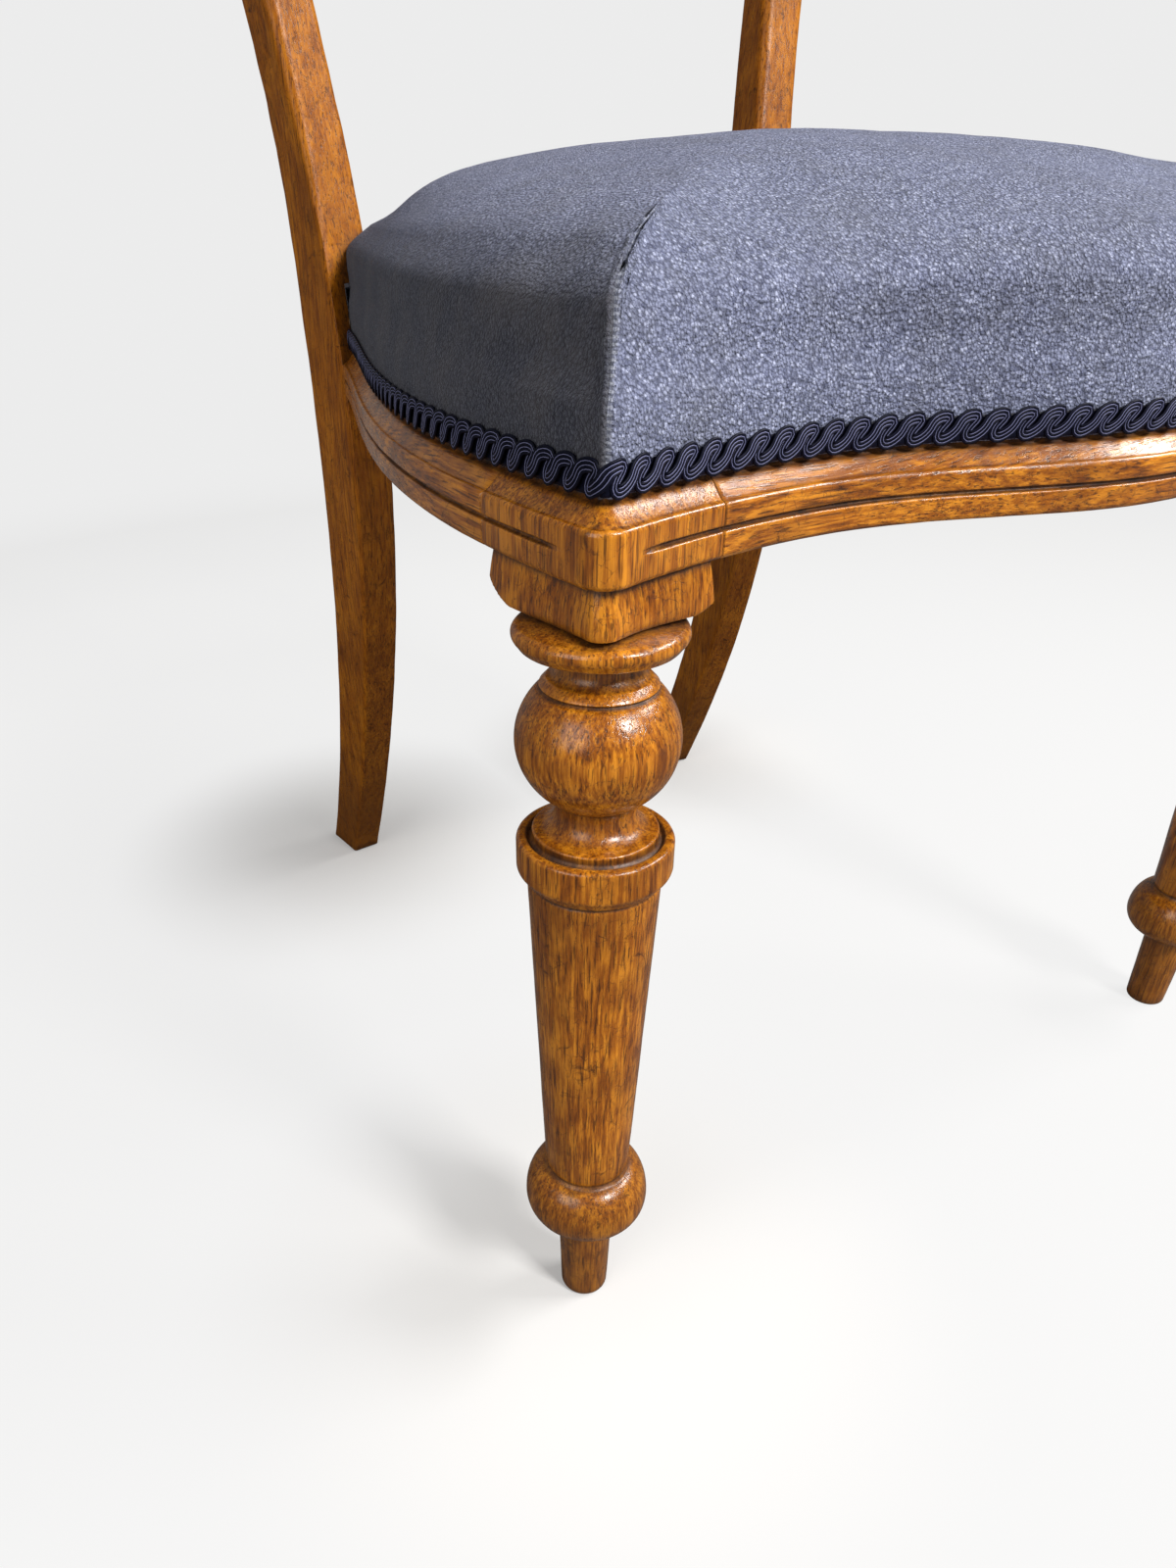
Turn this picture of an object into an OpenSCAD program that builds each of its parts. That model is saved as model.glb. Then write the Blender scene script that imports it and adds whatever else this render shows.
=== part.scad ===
// Victorian oak balloon back dining chair with a stuffed-over seat.
// Millimetres, +Z up, the sitter faces -Y. Every module is drawn with Y measured back from the
// front legs' axes; the whole chair is then set with its origin under the middle of its box.

/* [Seat frame] */
// Distance between the axes of the two front legs
leg_spacing = 422; // [400:1:440]
// Height of the underside of the seat rails
rail_base = 340; // [325:1:360]
// Height of the seat rails
rail_h = 52; // [50:1:60]
// Thickness of the seat rails
rail_t = 30; // [28:1:34]
// How far the lowest hollow of the front rail stands before the leg axes
hollow_out = 13.5; // [12:0.5:16]
// How far the middle of the front rail swells out beyond its hollows
front_swell = 28.5; // [20:0.5:32]
// Distance from the middle to each hollow of the front rail
hollow_x = 135; // [128:1:142]
// How far the front rail comes forward again at the leg axes
front_return = 11; // [9:0.5:12]
// How far the widest place of the side rails stands outside the leg axes
side_out = 23.5; // [22:0.5:26]
// Distance of that widest place behind the leg axes
side_widest = 38; // [30:1:45]
// How far the side rails' faces stand in from the rear legs' outer faces
rear_tuck = 1.3; // [0.5:0.1:2]
// Length of the side rails' full sweep
side_sweep = 450; // [440:5:480]
// How far the side faces draw in again at the leg axes
side_return = 1.25; // [0.5:0.25:2]

/* [Rail moulding] */
// Height of the band below the groove
low_band = 8; // [7:0.5:9]
// Width of the groove between the two bands
groove_w = 1.8; // [1.4:0.1:2.2]
// Depth of the groove
groove_d = 1.8; // [1.2:0.1:2.4]
// Height of the band above the groove, up to the arris
high_band = 7; // [6:0.5:8]
// Rise of the hollow slope behind the arris
slope_h = 4; // [3:0.5:6]
// Depth of the hollow slope, front to back
slope_w = 7; // [6:0.5:7.5]
// Depth of the rebate that takes the cover and the gimp
rebate_d = 9; // [8.5:0.5:10]
// Bevel on the top outer edge of the rails
top_bevel = 6; // [4:0.5:7]

/* [Front legs] */
// Distance from the leg axis in to the joint of the front rail
joint_in = 32; // [30:0.5:34]
// Distance from the leg axis back to the joint of the side rail
side_joint_in = 34; // [32:0.5:36]
// Radius of the block's rounded outer corner
corner_r = 9.5; // [9:0.5:11]
// How far the plate under the block stands in from its faces
plate_in = 2; // [1.5:0.25:2.5]
// Height of the plate
plate_h = 14; // [13:0.5:15]
// Radius of the plate's flat underside, inside its turned shoulder
shoulder_r = 23.5; // [22.5:0.5:24.5]
// Radius of the turned shoulder
shoulder_round = 13; // [12:0.5:13]
// Radius of the disc under the plate
disc_r = 28.4; // [26:0.2:30]
// Radius of the ball
ball_r = 28; // [26:0.2:29]
// Radius of the drum
drum_r = 28; // [27:0.2:30]
// Radius of the shaft under the drum
shaft_top_r = 24.2; // [23:0.2:25]
// Radius of the shaft above the ring
shaft_low_r = 17.8; // [17:0.2:20]
// Radius of the ring above the foot
ring_r = 26.6; // [24:0.2:28]
// Radius of the peg foot at the floor
peg_r = 10.6; // [9.6:0.2:11]

/* [Rear legs and back] */
// Half width of the chair over the rear legs
rear_half = 161.5; // [158:0.5:165]
// Distance from the front legs' axes back to the rear feet
rear_foot_y = 423; // [410:1:435]
// Distance from the front legs' axes back to the rear legs at the seat
rear_seat_y = 349; // [344:1:354]
// Angle at which the rear feet kick back
kick = 26; // [23:0.5:28]
// Angle at which the back leans
back_lean = 10.9; // [9:0.1:12]
// Depth of the rear leg at the foot
foot_d = 34.7; // [32:0.5:38]
// Depth of the rear leg at its knee
knee_d = 43; // [41:0.5:45]
// Depth of the back's stiles and crest rail
stile_d = 24; // [22:0.5:27]
// Width of the rear leg at the foot
foot_w = 20.6; // [19:0.2:23]
// Width of the rear leg at the seat
seat_w = 26.5; // [25:0.5:28]
// Width of the stile where the crest rail joins it
stile_w = 31; // [28:0.5:33]
// How far the stiles spread outwards above the seat
balloon = 36; // [28:1:40]
// Height of the joint between stile and crest rail
crest_joint = 740; // [720:2:760]
// Rise of the crest rail above its joints
crest_rise = 146; // [135:1:155]
// Depth of the crest rail at its middle, top to bottom
crest_mid = 58; // [50:1:64]
// Radius of the back's curve in plan
back_round = 1250; // [1150:10:1500]
// Height of the middle of the cross rail
cross_z = 574; // [560:1:590]
// Height of the cross rail at its middle
cross_mid = 56; // [48:1:60]
// Height of the cross rail at its ends
cross_end = 30; // [26:1:34]
// Thickness of the cross rail
cross_t = 17; // [15:0.5:19]

/* [Joints] */
// Diameter of the frame's dowels
dowel_d = 9; // [8:0.5:9.5]
// Length of the frame's dowels
dowel_len = 40; // [36:1:42]
// Clearance left in each glued joint
glue_gap = 0.15; // [0.1:0.05:0.2]
// Thickness of the corner braces
brace_t = 22; // [18:1:24]
// How far each brace reaches along its rails
brace_reach = 62; // [56:1:66]
// Diameter of the brace screws
screw_d = 4; // [3.5:0.5:4.5]

/* [Upholstery] */
// Height of the crown of the seat above the rails
crown = 58; // [45:1:66]
// Thickness of the cover
cover_t = 1.6; // [1.4:0.1:2]
// Thickness of the wadding under the cover
wadding_t = 5; // [4:0.5:6]
// Width of the webbing
web_w = 50; // [44:1:54]
// Thickness of the webbing
web_t = 1.2; // [1:0.1:1.4]
// Distance from one webbing strip to the next
web_pitch = 68; // [66:1:70]
// Height of the gimp
gimp_h = 12.5; // [11:0.5:13]
// Thickness of the gimp
gimp_t = 2.2; // [1.8:0.1:2.4]
// Clearance between one layer of the seat and the next
layer_gap = 0.3; // [0.2:0.05:0.4]

/* [Hidden] */

oak = [0.62, 0.36, 0.12];
dark_oak = [0.42, 0.22, 0.07];
beech = [0.78, 0.62, 0.42];
slate = [0.26, 0.29, 0.36];
navy = [0.10, 0.11, 0.20];
jute = [0.62, 0.50, 0.33];
steel = [0.55, 0.55, 0.57];

leg_x = leg_spacing / 2;
rail_top = rail_base + rail_h;

// A list of points as one closed sweep: rings of equal length, capped at both ends
function flat_list(rings) = [for (r = rings) for (p = r) p];
function side_faces(n, m) = [for (i = [0:n - 2]) for (j = [0:m - 1]) let (k = (j + 1) % m)
    each [[i * m + j, i * m + k, (i + 1) * m + k], [i * m + j, (i + 1) * m + k, (i + 1) * m + j]]];
function cap_faces(n, m) = [[for (j = [m - 1:-1:0]) j], [for (j = [0:m - 1]) (n - 1) * m + j]];
module sweep(rings) {
    n = len(rings);
    m = len(rings[0]);
    polyhedron(flat_list(rings), concat(side_faces(n, m), cap_faces(n, m)), convexity = 10);
}
function arc(cx, cy, r, a0, a1, n) =
    [for (i = [0:n]) let (a = a0 + (a1 - a0) * i / n) [cx + r * cos(a), cy + r * sin(a)]];
function mix(a, b, t) = a + (b - a) * t;
function swing(t) = (1 - cos(180 * min(max(t, 0), 1))) / 2;
function unit(v) = v / norm(v);
function reversed(l) = [for (i = [len(l) - 1:-1:0]) l[i]];

// Plan lines of the seat, measured from the middle and from the front legs' axes
side_draw = 2 * (leg_x + side_out - rear_half + rear_tuck)
    / (1 - cos(180 * (rear_seat_y - side_widest) / side_sweep));
function front_line(x) = let (a = abs(x)) a < hollow_x
    ? -hollow_out - front_swell * (1 + cos(180 * a / hollow_x)) / 2
    : -hollow_out - front_return * pow((a - hollow_x) / (leg_x - hollow_x), 2);
function side_line(y) = y < side_widest
    ? leg_x + side_out - side_return * pow((side_widest - y) / side_widest, 2)
    : leg_x + side_out - side_draw * (1 - cos(180 * (y - side_widest) / side_sweep)) / 2;

// Moulding of the seat rails: distance in from the face, height above the underside
arris_z = low_band + groove_w + high_band;
slope_z = arris_z + slope_h;
rebate_z = slope_z + 2.5;
bottom_bevel = 1.2;
function moulding(groove) = [[bottom_bevel, 0], [0, bottom_bevel], [0, low_band],
    [groove * groove_d, low_band + groove_w / 4],
    [groove * groove_d, low_band + groove_w * 3 / 4], [0, low_band + groove_w],
    [0, arris_z - 1.6], [0.6, arris_z - 0.3], [2, arris_z],
    [mix(2, slope_w, 0.55), mix(arris_z, slope_z, 0.32)], [slope_w, slope_z - 0.5],
    [rebate_d - 0.6, slope_z], [rebate_d, rebate_z],
    [rebate_d, rail_h - top_bevel], [rebate_d + top_bevel * 0.8, rail_h]];
function rail_section(t) = concat(moulding(1), [[t, rail_h], [t, 0]]);

// The back: lateral place x, distance t behind its front face, height z
function hermite(a, sa, b, sb, l, t) = a * (2 * t * t * t - 3 * t * t + 1)
    + sa * l * (t * t * t - 2 * t * t + t) + b * (3 * t * t - 2 * t * t * t) + sb * l * (t * t * t - t * t);
knee_z = rail_base - 40;
lean_z = rail_base + 30;
rear_camber = rear_half * rear_half / (2 * back_round);
function back_face(z) = rear_camber + (z < lean_z
    ? hermite(rear_foot_y, -tan(kick), rear_seat_y, tan(back_lean), lean_z, z / lean_z)
    : rear_seat_y + (z - lean_z) * tan(back_lean));
function back_point(x, t, z) =
    [x * (1 + t / back_round), back_face(z) - x * x / (2 * back_round) + t, z];
spread_above = 8;
spread_z = rail_top + spread_above;
function leg_out(z) = rear_half + balloon * swing((z - spread_z) / (crest_joint - spread_z));
function leg_wide(z) = z < rail_top ? mix(foot_w, seat_w, z / rail_top)
    : mix(seat_w, stile_w, swing((z - rail_top) / (crest_joint - rail_top)));
function leg_deep(z) = z < knee_z ? mix(foot_d, knee_d, swing(z / knee_z))
    : mix(knee_d, stile_d, swing((z - knee_z) / knee_z));
function leg_edge(z) = mix(2, 6, swing((z - rail_top) / 120));
// Rounded section of the back's members: w wide, d deep, front edges rounded by r
function back_section(w, d, r, e) = [[e, r + e], [r * 0.3 + e, r * 0.3 + e], [r + e, e],
    [w - r - e, e], [w - r * 0.3 - e, r * 0.3 + e], [w - e, r + e],
    [w - e, d - 2 - e], [w - 2 - e, d - e], [2 + e, d - e], [e, d - 2 - e]];
function leg_ring(side, z, e) = [for (p = back_section(leg_wide(z), leg_deep(z), leg_edge(z), e))
    back_point(side * (leg_out(z) - p[0]), p[1], z)];
// Where the inner face of the rear leg stands at depth y and height z
function leg_inner(y, z) = let (x = leg_out(z) - leg_wide(z),
    t = y - back_face(z) + x * x / (2 * back_round)) x * (1 + t / back_round);
function leg_front(x, z) = back_face(z) - x * x / (2 * back_round);

// Crest rail: an arch between an outer and an inner oval
crest_half = leg_out(crest_joint);
crest_in_x = crest_half - stile_w;
crest_in_rise = crest_rise - crest_mid;
crest_top = crest_joint + crest_rise;
function crest_width(a) = norm([stile_w * cos(a), crest_mid * sin(a)]);
function crest_points(a) = [for (p = back_section(crest_width(a), stile_d, leg_edge(crest_joint), 0))
    let (s = p[0] / crest_width(a))
    back_point(mix(crest_half, crest_in_x, s) * cos(a), p[1],
        crest_joint + mix(crest_rise, crest_in_rise, s) * sin(a))];

// Box of the chair from front to back, which sets the origin
front_reach = hollow_out + front_swell;
rear_reach = max([for (p = concat(crest_points(90), leg_ring(1, 2, 0))) p[1]]);
centre_y = (rear_reach - front_reach) / 2;

module placed() {
    translate([0, -centre_y, 0]) children();
}
module on_right(right) {
    if (right) mirror([1, 0, 0]) children();
    else children();
}

// Front leg: heights of the turned parts
neck_r = 14.2;
foot_top = 50;
ring_z = foot_top + 14;
ring_top = 84;
drum_base = 228;
drum_top = 246;
ball_z = rail_base - 58;
ball_h = ball_r * 0.94;
disc_z = rail_base - 20.5;
plate_z = rail_base - plate_h;
function oval_arc(cx, cy, rx, ry, a0, a1, n) =
    [for (i = [0:n]) let (a = a0 + (a1 - a0) * i / n) [cx + rx * cos(a), cy + ry * sin(a)]];
foot_profile = concat([[0, 0]], arc(peg_r - 2.2, 2.2, 2.2, -90, 0, 4), [[peg_r + 1.6, foot_top - 1]]);
ring_profile = concat(oval_arc(ring_r - 10, ring_z, 10, 12, -62, 0, 6),
    oval_arc(ring_r * 0.62, ring_z, ring_r * 0.38, 17, 11, 80, 7),
    [[shaft_low_r - 0.8, ring_top - 1.6], [shaft_low_r, ring_top]]);
drum_profile = concat([[shaft_top_r, drum_base - 1.2], [shaft_top_r - 0.6, drum_base],
        [shaft_top_r + 0.6, drum_base + 0.8]],
    arc(drum_r - 3.2, drum_base + 6.2, 3.2, -60, 0, 5), arc(drum_r - 2, drum_top - 2.6, 2, 0, 90, 4),
    [[drum_r - 3.4, drum_top - 0.6], [drum_r - 4.6, drum_top - 2.2], [drum_r - 5.8, drum_top - 0.8]],
    arc(drum_r - 6.6, drum_top + 1.4, 1, -20, 90, 3));
low_neck_profile = oval_arc(neck_r + 6.6, drum_top + 10, 6.6, 7.4, 262, 180, 6);
ball_profile = oval_arc(0, ball_z, ball_r, ball_h, -58, 41, 16);
high_neck_profile = concat(
    [[ball_r * 0.68, ball_z + ball_h * 0.7], [ball_r * 0.71, ball_z + ball_h * 0.735]],
    oval_arc(neck_r + 5, disc_z - 8.4, 5, 7, 250, 180, 5));
disc_profile = concat([[neck_r, disc_z - 7], [disc_r - 4, disc_z - 6.8], [disc_r - 2.2, disc_z - 5.6]],
    arc(disc_r - 4, disc_z, 4, -40, 84, 9), [[16, disc_z + 4.6]]);
module leg_turning() {
    rotate_extrude($fn = 96) polygon(concat(foot_profile, ring_profile, drum_profile, low_neck_profile,
        ball_profile, high_neck_profile, disc_profile, [[16, plate_z + 1], [0, plate_z + 1]]));
}
// The left block's faces, from the front joint round its rounded corner to the side joint
corner_x = -(side_line(-18) - corner_r);
corner_slope = atan(2 * front_return * (-corner_x - hollow_x) / pow(leg_x - hollow_x, 2));
joint_x = leg_x - joint_in;
joint_y = side_joint_in;
front_steps = 9;
corner_steps = 7;
side_steps = 7;
corner_last = front_steps + corner_steps;
block_columns = corner_last + side_steps;
// Share of the groove's depth at column i: the groove stops short of the corner
function block_groove(i) = i < front_steps ? 1 - swing((i / front_steps - 0.62) / 0.3)
    : i <= corner_last ? 0 : swing(((i - corner_last) / side_steps - 0.1) / 0.3);
// Radius of the corner at an inset from the faces, its centre, and the point of column i
least_r = 0.5;
function corner_round(inset) = max(corner_r - inset, least_r);
function corner_cx(inset) = corner_x + max(0, inset - corner_r + least_r);
function corner_end(inset) = corner_cx(inset) + corner_round(inset) * sin(corner_slope);
function corner_cy(inset) = front_line(corner_end(inset)) + inset / cos(corner_slope)
    + corner_round(inset) * cos(corner_slope);
function block_point(i, inset) = i < front_steps
    ? let (s = i / front_steps, x = mix(-joint_x, corner_end(inset), s))
        [x, front_line(x) + inset * mix(1, 1 / cos(corner_slope), s)]
    : i <= corner_last
    ? let (a = -90 + corner_slope - (i - front_steps) / corner_steps * (90 + corner_slope))
        [corner_cx(inset) + corner_round(inset) * cos(a), corner_cy(inset) + corner_round(inset) * sin(a)]
    : let (y = mix(corner_cy(inset), joint_y, (i - corner_last) / side_steps))
        [-side_line(y) + inset, y];
// Plate between disc and block: the block's outline, its lower corners rounded off by the turning
module leg_plate() {
    outline = [for (i = [0:block_columns])
        let (p = block_point(i, mix(bottom_bevel, plate_in, block_groove(i))))
        [min(p[0], -joint_x - plate_in), min(p[1], joint_y - plate_in)]];
    intersection() {
        translate([0, 0, plate_z]) linear_extrude(plate_h + 1)
            polygon(concat(outline, [[-joint_x - plate_in, joint_y - plate_in]]));
        translate([-leg_x, 0, 0]) rotate_extrude($fn = 96) polygon(concat([[0, plate_z]],
            arc(shoulder_r, plate_z + shoulder_round, shoulder_round, -90, 0, 8),
            [[shoulder_r + shoulder_round, rail_base + 1], [0, rail_base + 1]]));
    }
}
module leg_block() {
    rows = len(moulding(1));
    rings = [for (k = [0:rows - 1]) let (z = rail_base + moulding(1)[k][1])
        concat([for (i = [0:block_columns]) let (p = block_point(i, moulding(block_groove(i))[k][0]))
            [p[0], p[1], z]], [[-joint_x, joint_y, z]])];
    sweep(rings);
}
module front_leg(right) {
    color(oak) placed() on_right(right) difference() {
        union() {
            translate([-leg_x, 0, 0]) leg_turning();
            leg_plate();
            leg_block();
        }
        front_dowels(glue_gap);
        side_front_dowels(glue_gap);
    }
}

// Seat rails
function front_ring(x) = [for (p = rail_section(rail_t)) [x, front_line(x) + p[0], rail_base + p[1]]];
module front_seat_rail() {
    steps = 40;
    end_x = joint_x - glue_gap;
    rings = [for (i = [0:steps]) let (x = mix(-end_x, end_x, i / steps)) front_ring(x)];
    color(oak) placed() difference() {
        sweep(rings);
        front_dowels(glue_gap);
        mirror([1, 0, 0]) front_dowels(glue_gap);
        at_front_screw() screw_bore();
        mirror([1, 0, 0]) at_front_screw() screw_bore();
    }
}
// A side rail's ring at share s of its length: its last ring follows the face of the rear leg
function side_ring(s) = [for (p = rail_section(rail_t)) let (z = rail_base + p[1],
        y_guess = leg_front(side_line(rear_seat_y) - p[0], z) - glue_gap,
        y = mix(joint_y + glue_gap, y_guess, s))
    [-(side_line(y) - p[0]), y, z]];
module side_seat_rail(right) {
    steps = 26;
    color(oak) placed() on_right(right) difference() {
        sweep([for (i = [steps:-1:0]) side_ring(i / steps)]);
        side_front_dowels(glue_gap);
        side_rear_dowels(glue_gap);
        at_side_screw(side_screw_y) screw_bore();
        at_side_screw(rear_screw_y) screw_bore();
    }
}
rear_rail_t = 26;
rear_rail_set = 6;
rear_rail_y = back_face(lean_z) + rear_rail_set;
function rear_line(x) = rear_rail_y - x * x / (2 * back_round);
module rear_seat_rail() {
    steps = 12;
    section = [[0, rail_h], [rear_rail_t, rail_h], [rear_rail_t, 1.5], [rear_rail_t - 1.5, 0], [0, 0]];
    color(beech) placed() difference() {
        sweep([for (i = [0:steps]) let (s = 2 * i / steps - 1) [for (p = section)
            let (y0 = rear_line(rear_half - seat_w) + p[0], z = rail_base + p[1],
                x = s * (leg_inner(y0, z) - glue_gap))
            [x, rear_line(x) + p[0], z]]]);
        rear_dowels(glue_gap);
        mirror([1, 0, 0]) rear_dowels(glue_gap);
        at_rear_screw() screw_bore();
        mirror([1, 0, 0]) at_rear_screw() screw_bore();
    }
}

// Rear legs
leg_steps = 40;
module rear_leg(right) {
    heights = concat([0, 2], [for (i = [1:leg_steps]) i * crest_joint / leg_steps]);
    color(dark_oak) placed() on_right(right) difference() {
        sweep([for (z = reversed(heights)) leg_ring(-1, z, z == 0 ? 1.2 : 0)]);
        side_rear_dowels(glue_gap);
        rear_dowels(glue_gap);
        cross_dowels(glue_gap);
        crest_dowels(glue_gap);
    }
}
module crest_rail() {
    steps = 44;
    color(dark_oak) placed() difference() {
        translate([0, 0, glue_gap]) sweep([for (i = [steps:-1:0]) crest_points(180 - 180 * i / steps)]);
        crest_dowels(glue_gap);
        mirror([1, 0, 0]) crest_dowels(glue_gap);
    }
}
// Cross rail: deeper in the middle, with a dip in its top edge beside each stile
cross_set = (stile_d - cross_t) / 2 + 1;
cross_dip = 10;
cross_drop = 4;
function cross_half(x) = let (s = min(abs(x) / crest_in_x, 1))
    mix(cross_mid, cross_end, swing(s * 1.5)) / 2;
function cross_lift(x) = cross_dip * swing(1 - abs(x) / crest_in_x) - cross_drop;
module back_cross_rail() {
    steps = 36;
    color(dark_oak) placed() difference() {
        sweep([for (i = [0:steps]) let (s = 1 - 2 * i / steps,
                x0 = s * (leg_out(cross_z) - leg_wide(cross_z)),
                h = 2 * cross_half(x0), zc = cross_z + cross_lift(x0))
            [for (p = back_section(h, cross_t, 4, 0)) let (z = zc + h / 2 - p[0],
                    x = s * (leg_out(z) - leg_wide(z) - glue_gap))
                back_point(x, cross_set + p[1], z)]]);
        cross_dowels(glue_gap);
        mirror([1, 0, 0]) cross_dowels(glue_gap);
    }
}

// Dowels of the left half, each drawn oversize by gap for its bore
dowel_zs = [rail_base + rail_h * 0.29, rail_base + rail_h * 0.69];
dowel_in = 18.5;
side_rear_len = 34;
side_rear_in = 11;
rear_dowel_len = 32;
crest_dowel_len = 34;
cross_dowel_len = 30;
back_dowel_d = dowel_d - 1;
module dowel(gap, len) {
    cylinder(h = len + 2 * gap, d = dowel_d + 2 * gap, center = true, $fn = 32);
}
module front_dowels(gap) {
    for (z = dowel_zs) translate([-joint_x, front_line(joint_x) + dowel_in, z]) rotate([0, 90, 0])
        dowel(gap, dowel_len);
}
module side_front_dowels(gap) {
    for (z = dowel_zs) translate([-(side_line(joint_y) - dowel_in), joint_y, z]) rotate([90, 0, 0])
        dowel(gap, dowel_len);
}
side_rear_x = rear_half - seat_w / 2;
module side_rear_dowels(gap) {
    for (z = dowel_zs)
        translate([-side_rear_x, leg_front(side_rear_x, z) + side_rear_in - side_rear_len / 2, z])
            rotate([90, 0, 0]) dowel(gap, side_rear_len);
}
module rear_dowels(gap) {
    y = rear_line(rear_half) + rear_rail_t / 2 + 1;
    for (z = dowel_zs) translate([-leg_inner(y, z), y, z]) rotate([0, 90, 0]) dowel(gap, rear_dowel_len);
}
module cross_dowels(gap) {
    z = cross_z + cross_lift(crest_in_x);
    x = leg_out(z) - leg_wide(z);
    translate(back_point(-x, cross_set + cross_t / 2, z)) rotate([0, 90, 0])
        cylinder(h = cross_dowel_len + 2 * gap, d = back_dowel_d + 2 * gap, center = true, $fn = 32);
}
module crest_dowels(gap) {
    for (dx = [-7, 7])
        translate(back_point(-(crest_half - stile_w / 2) + dx, stile_d / 2, crest_joint))
        cylinder(h = crest_dowel_len + 2 * gap, d = back_dowel_d + 2 * gap, center = true, $fn = 32);
}
module seat_rail_dowels() {
    color(beech) placed() for (right = [false, true]) on_right(right) {
        front_dowels(0);
        side_front_dowels(0);
        side_rear_dowels(0);
        rear_dowels(0);
    }
}
module crest_rail_dowels() {
    color(beech) placed() for (right = [false, true]) on_right(right) crest_dowels(0);
}
module cross_rail_dowels() {
    color(beech) placed() for (right = [false, true]) on_right(right) cross_dowels(0);
}

// Corner braces and their screws
brace_z = rail_base + 14;
brace_nose = 14;
front_screw_x = joint_x - brace_reach * 0.62;
side_screw_y = joint_y + brace_reach * 0.62;
module front_brace(right) {
    steps = 8;
    gap = glue_gap;
    x_far = joint_x - brace_reach;
    y_far = joint_y + brace_reach;
    front_edge = [for (i = [0:steps]) let (x = mix(x_far, joint_x - 2 * gap, i / steps))
        [-x, front_line(x) + rail_t + 2 * gap]];
    side_edge = [for (i = [0:steps]) let (y = mix(joint_y + 2 * gap, y_far, i / steps))
        [-(side_line(y) - rail_t - 2 * gap), y]];
    outline = concat(front_edge, [[-(joint_x - 2 * gap), joint_y + 2 * gap]], side_edge,
        [side_edge[steps] + [brace_nose, 0], front_edge[0] + [0, brace_nose]]);
    color(beech) placed() on_right(right) difference() {
        translate([0, 0, brace_z]) linear_extrude(brace_t) polygon(outline);
        at_front_screw() screw_bore();
        at_side_screw(side_screw_y) screw_bore();
    }
}
module rear_brace(right) {
    steps = 6;
    gap = glue_gap;
    y_end = rear_brace_y - 2 * gap;
    y_far = y_end - brace_reach + 10;
    x_end = rear_reach_x;
    side_edge = [for (i = [0:steps]) let (y = mix(y_far, y_end, i / steps))
        [-(side_line(y) - rail_t - 2 * gap), y]];
    rear_edge = [for (i = [0:steps]) let (x = mix(x_end, x_end - brace_reach + 12, i / steps))
        [-x, rear_line(x) - 2 * gap]];
    outline = concat(side_edge, rear_edge,
        [rear_edge[steps] - [0, brace_nose - 2], side_edge[0] + [brace_nose - 2, 0]]);
    color(beech) placed() on_right(right) difference() {
        translate([0, 0, brace_z]) linear_extrude(brace_t) polygon(outline);
        at_rear_screw() screw_bore();
        at_side_screw(rear_screw_y) screw_bore();
    }
}

// Screws of the left half's braces: +Z of each runs out of the rail and through the brace
brace_mid = brace_z + brace_t / 2;
screw_in = 17;
screw_grip = 20;
head_h = 3;
slot_w = 1;
point_gap = 0.3;
seat_gap = 0.05;
driver_way = 60;
rear_reach_x = rear_half - rail_t - 3;
rear_brace_y = min(leg_front(rear_half, rail_base), leg_front(rear_half, rail_top));
rear_screw_y = rear_brace_y - (brace_reach - 10) * 0.6;
rear_screw_x = rear_reach_x - (brace_reach - 12) * 0.6;
module at_front_screw() {
    translate([-front_screw_x, front_line(front_screw_x) + rail_t, brace_mid])
        rotate([-90, 0, 0]) children();
}
module at_side_screw(y) {
    translate([-(side_line(y) - rail_t), y, brace_mid]) rotate([0, 90, 0]) children();
}
module at_rear_screw() {
    translate([-rear_screw_x, rear_line(rear_screw_x), brace_mid]) rotate([90, 0, 0]) children();
}
module screw() {
    difference() {
        union() {
            translate([0, 0, -screw_in]) cylinder(h = screw_in + screw_grip + 1, d = screw_d, $fn = 24);
            translate([0, 0, screw_grip + seat_gap]) cylinder(h = head_h, d = 2 * screw_d, $fn = 24);
        }
        translate([-screw_d, -slot_w / 2, screw_grip + head_h - slot_w])
            cube([2 * screw_d, slot_w, 2 * slot_w]);
    }
}
module screw_bore() {
    translate([0, 0, -screw_in - point_gap])
        cylinder(h = screw_in + screw_grip + 1, d = screw_d + 2 * glue_gap, $fn = 24);
    translate([0, 0, screw_grip]) cylinder(h = driver_way, d = 2 * screw_d + 1, $fn = 24);
}
module corner_brace_screws() {
    color(steel) placed() for (right = [false, true]) on_right(right) {
        at_front_screw() screw();
        at_side_screw(side_screw_y) screw();
        at_side_screw(rear_screw_y) screw();
        at_rear_screw() screw();
    }
}

// Woven webbing: strip i of each set runs over and under the strips of the other set
web_count = 4;
web_mid_y = (front_line(hollow_x) + rail_t + rear_line(0)) / 2;
web_z = rail_top + web_t / 2 + 0.05;
web_wave = web_t / 2 + 0.1;
web_seat = rebate_d + top_bevel + 2;
web_rear_seat = 14;
web_flat = 0.53;
function web_place(i) = (i - (web_count - 1) / 2) * web_pitch;
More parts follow.
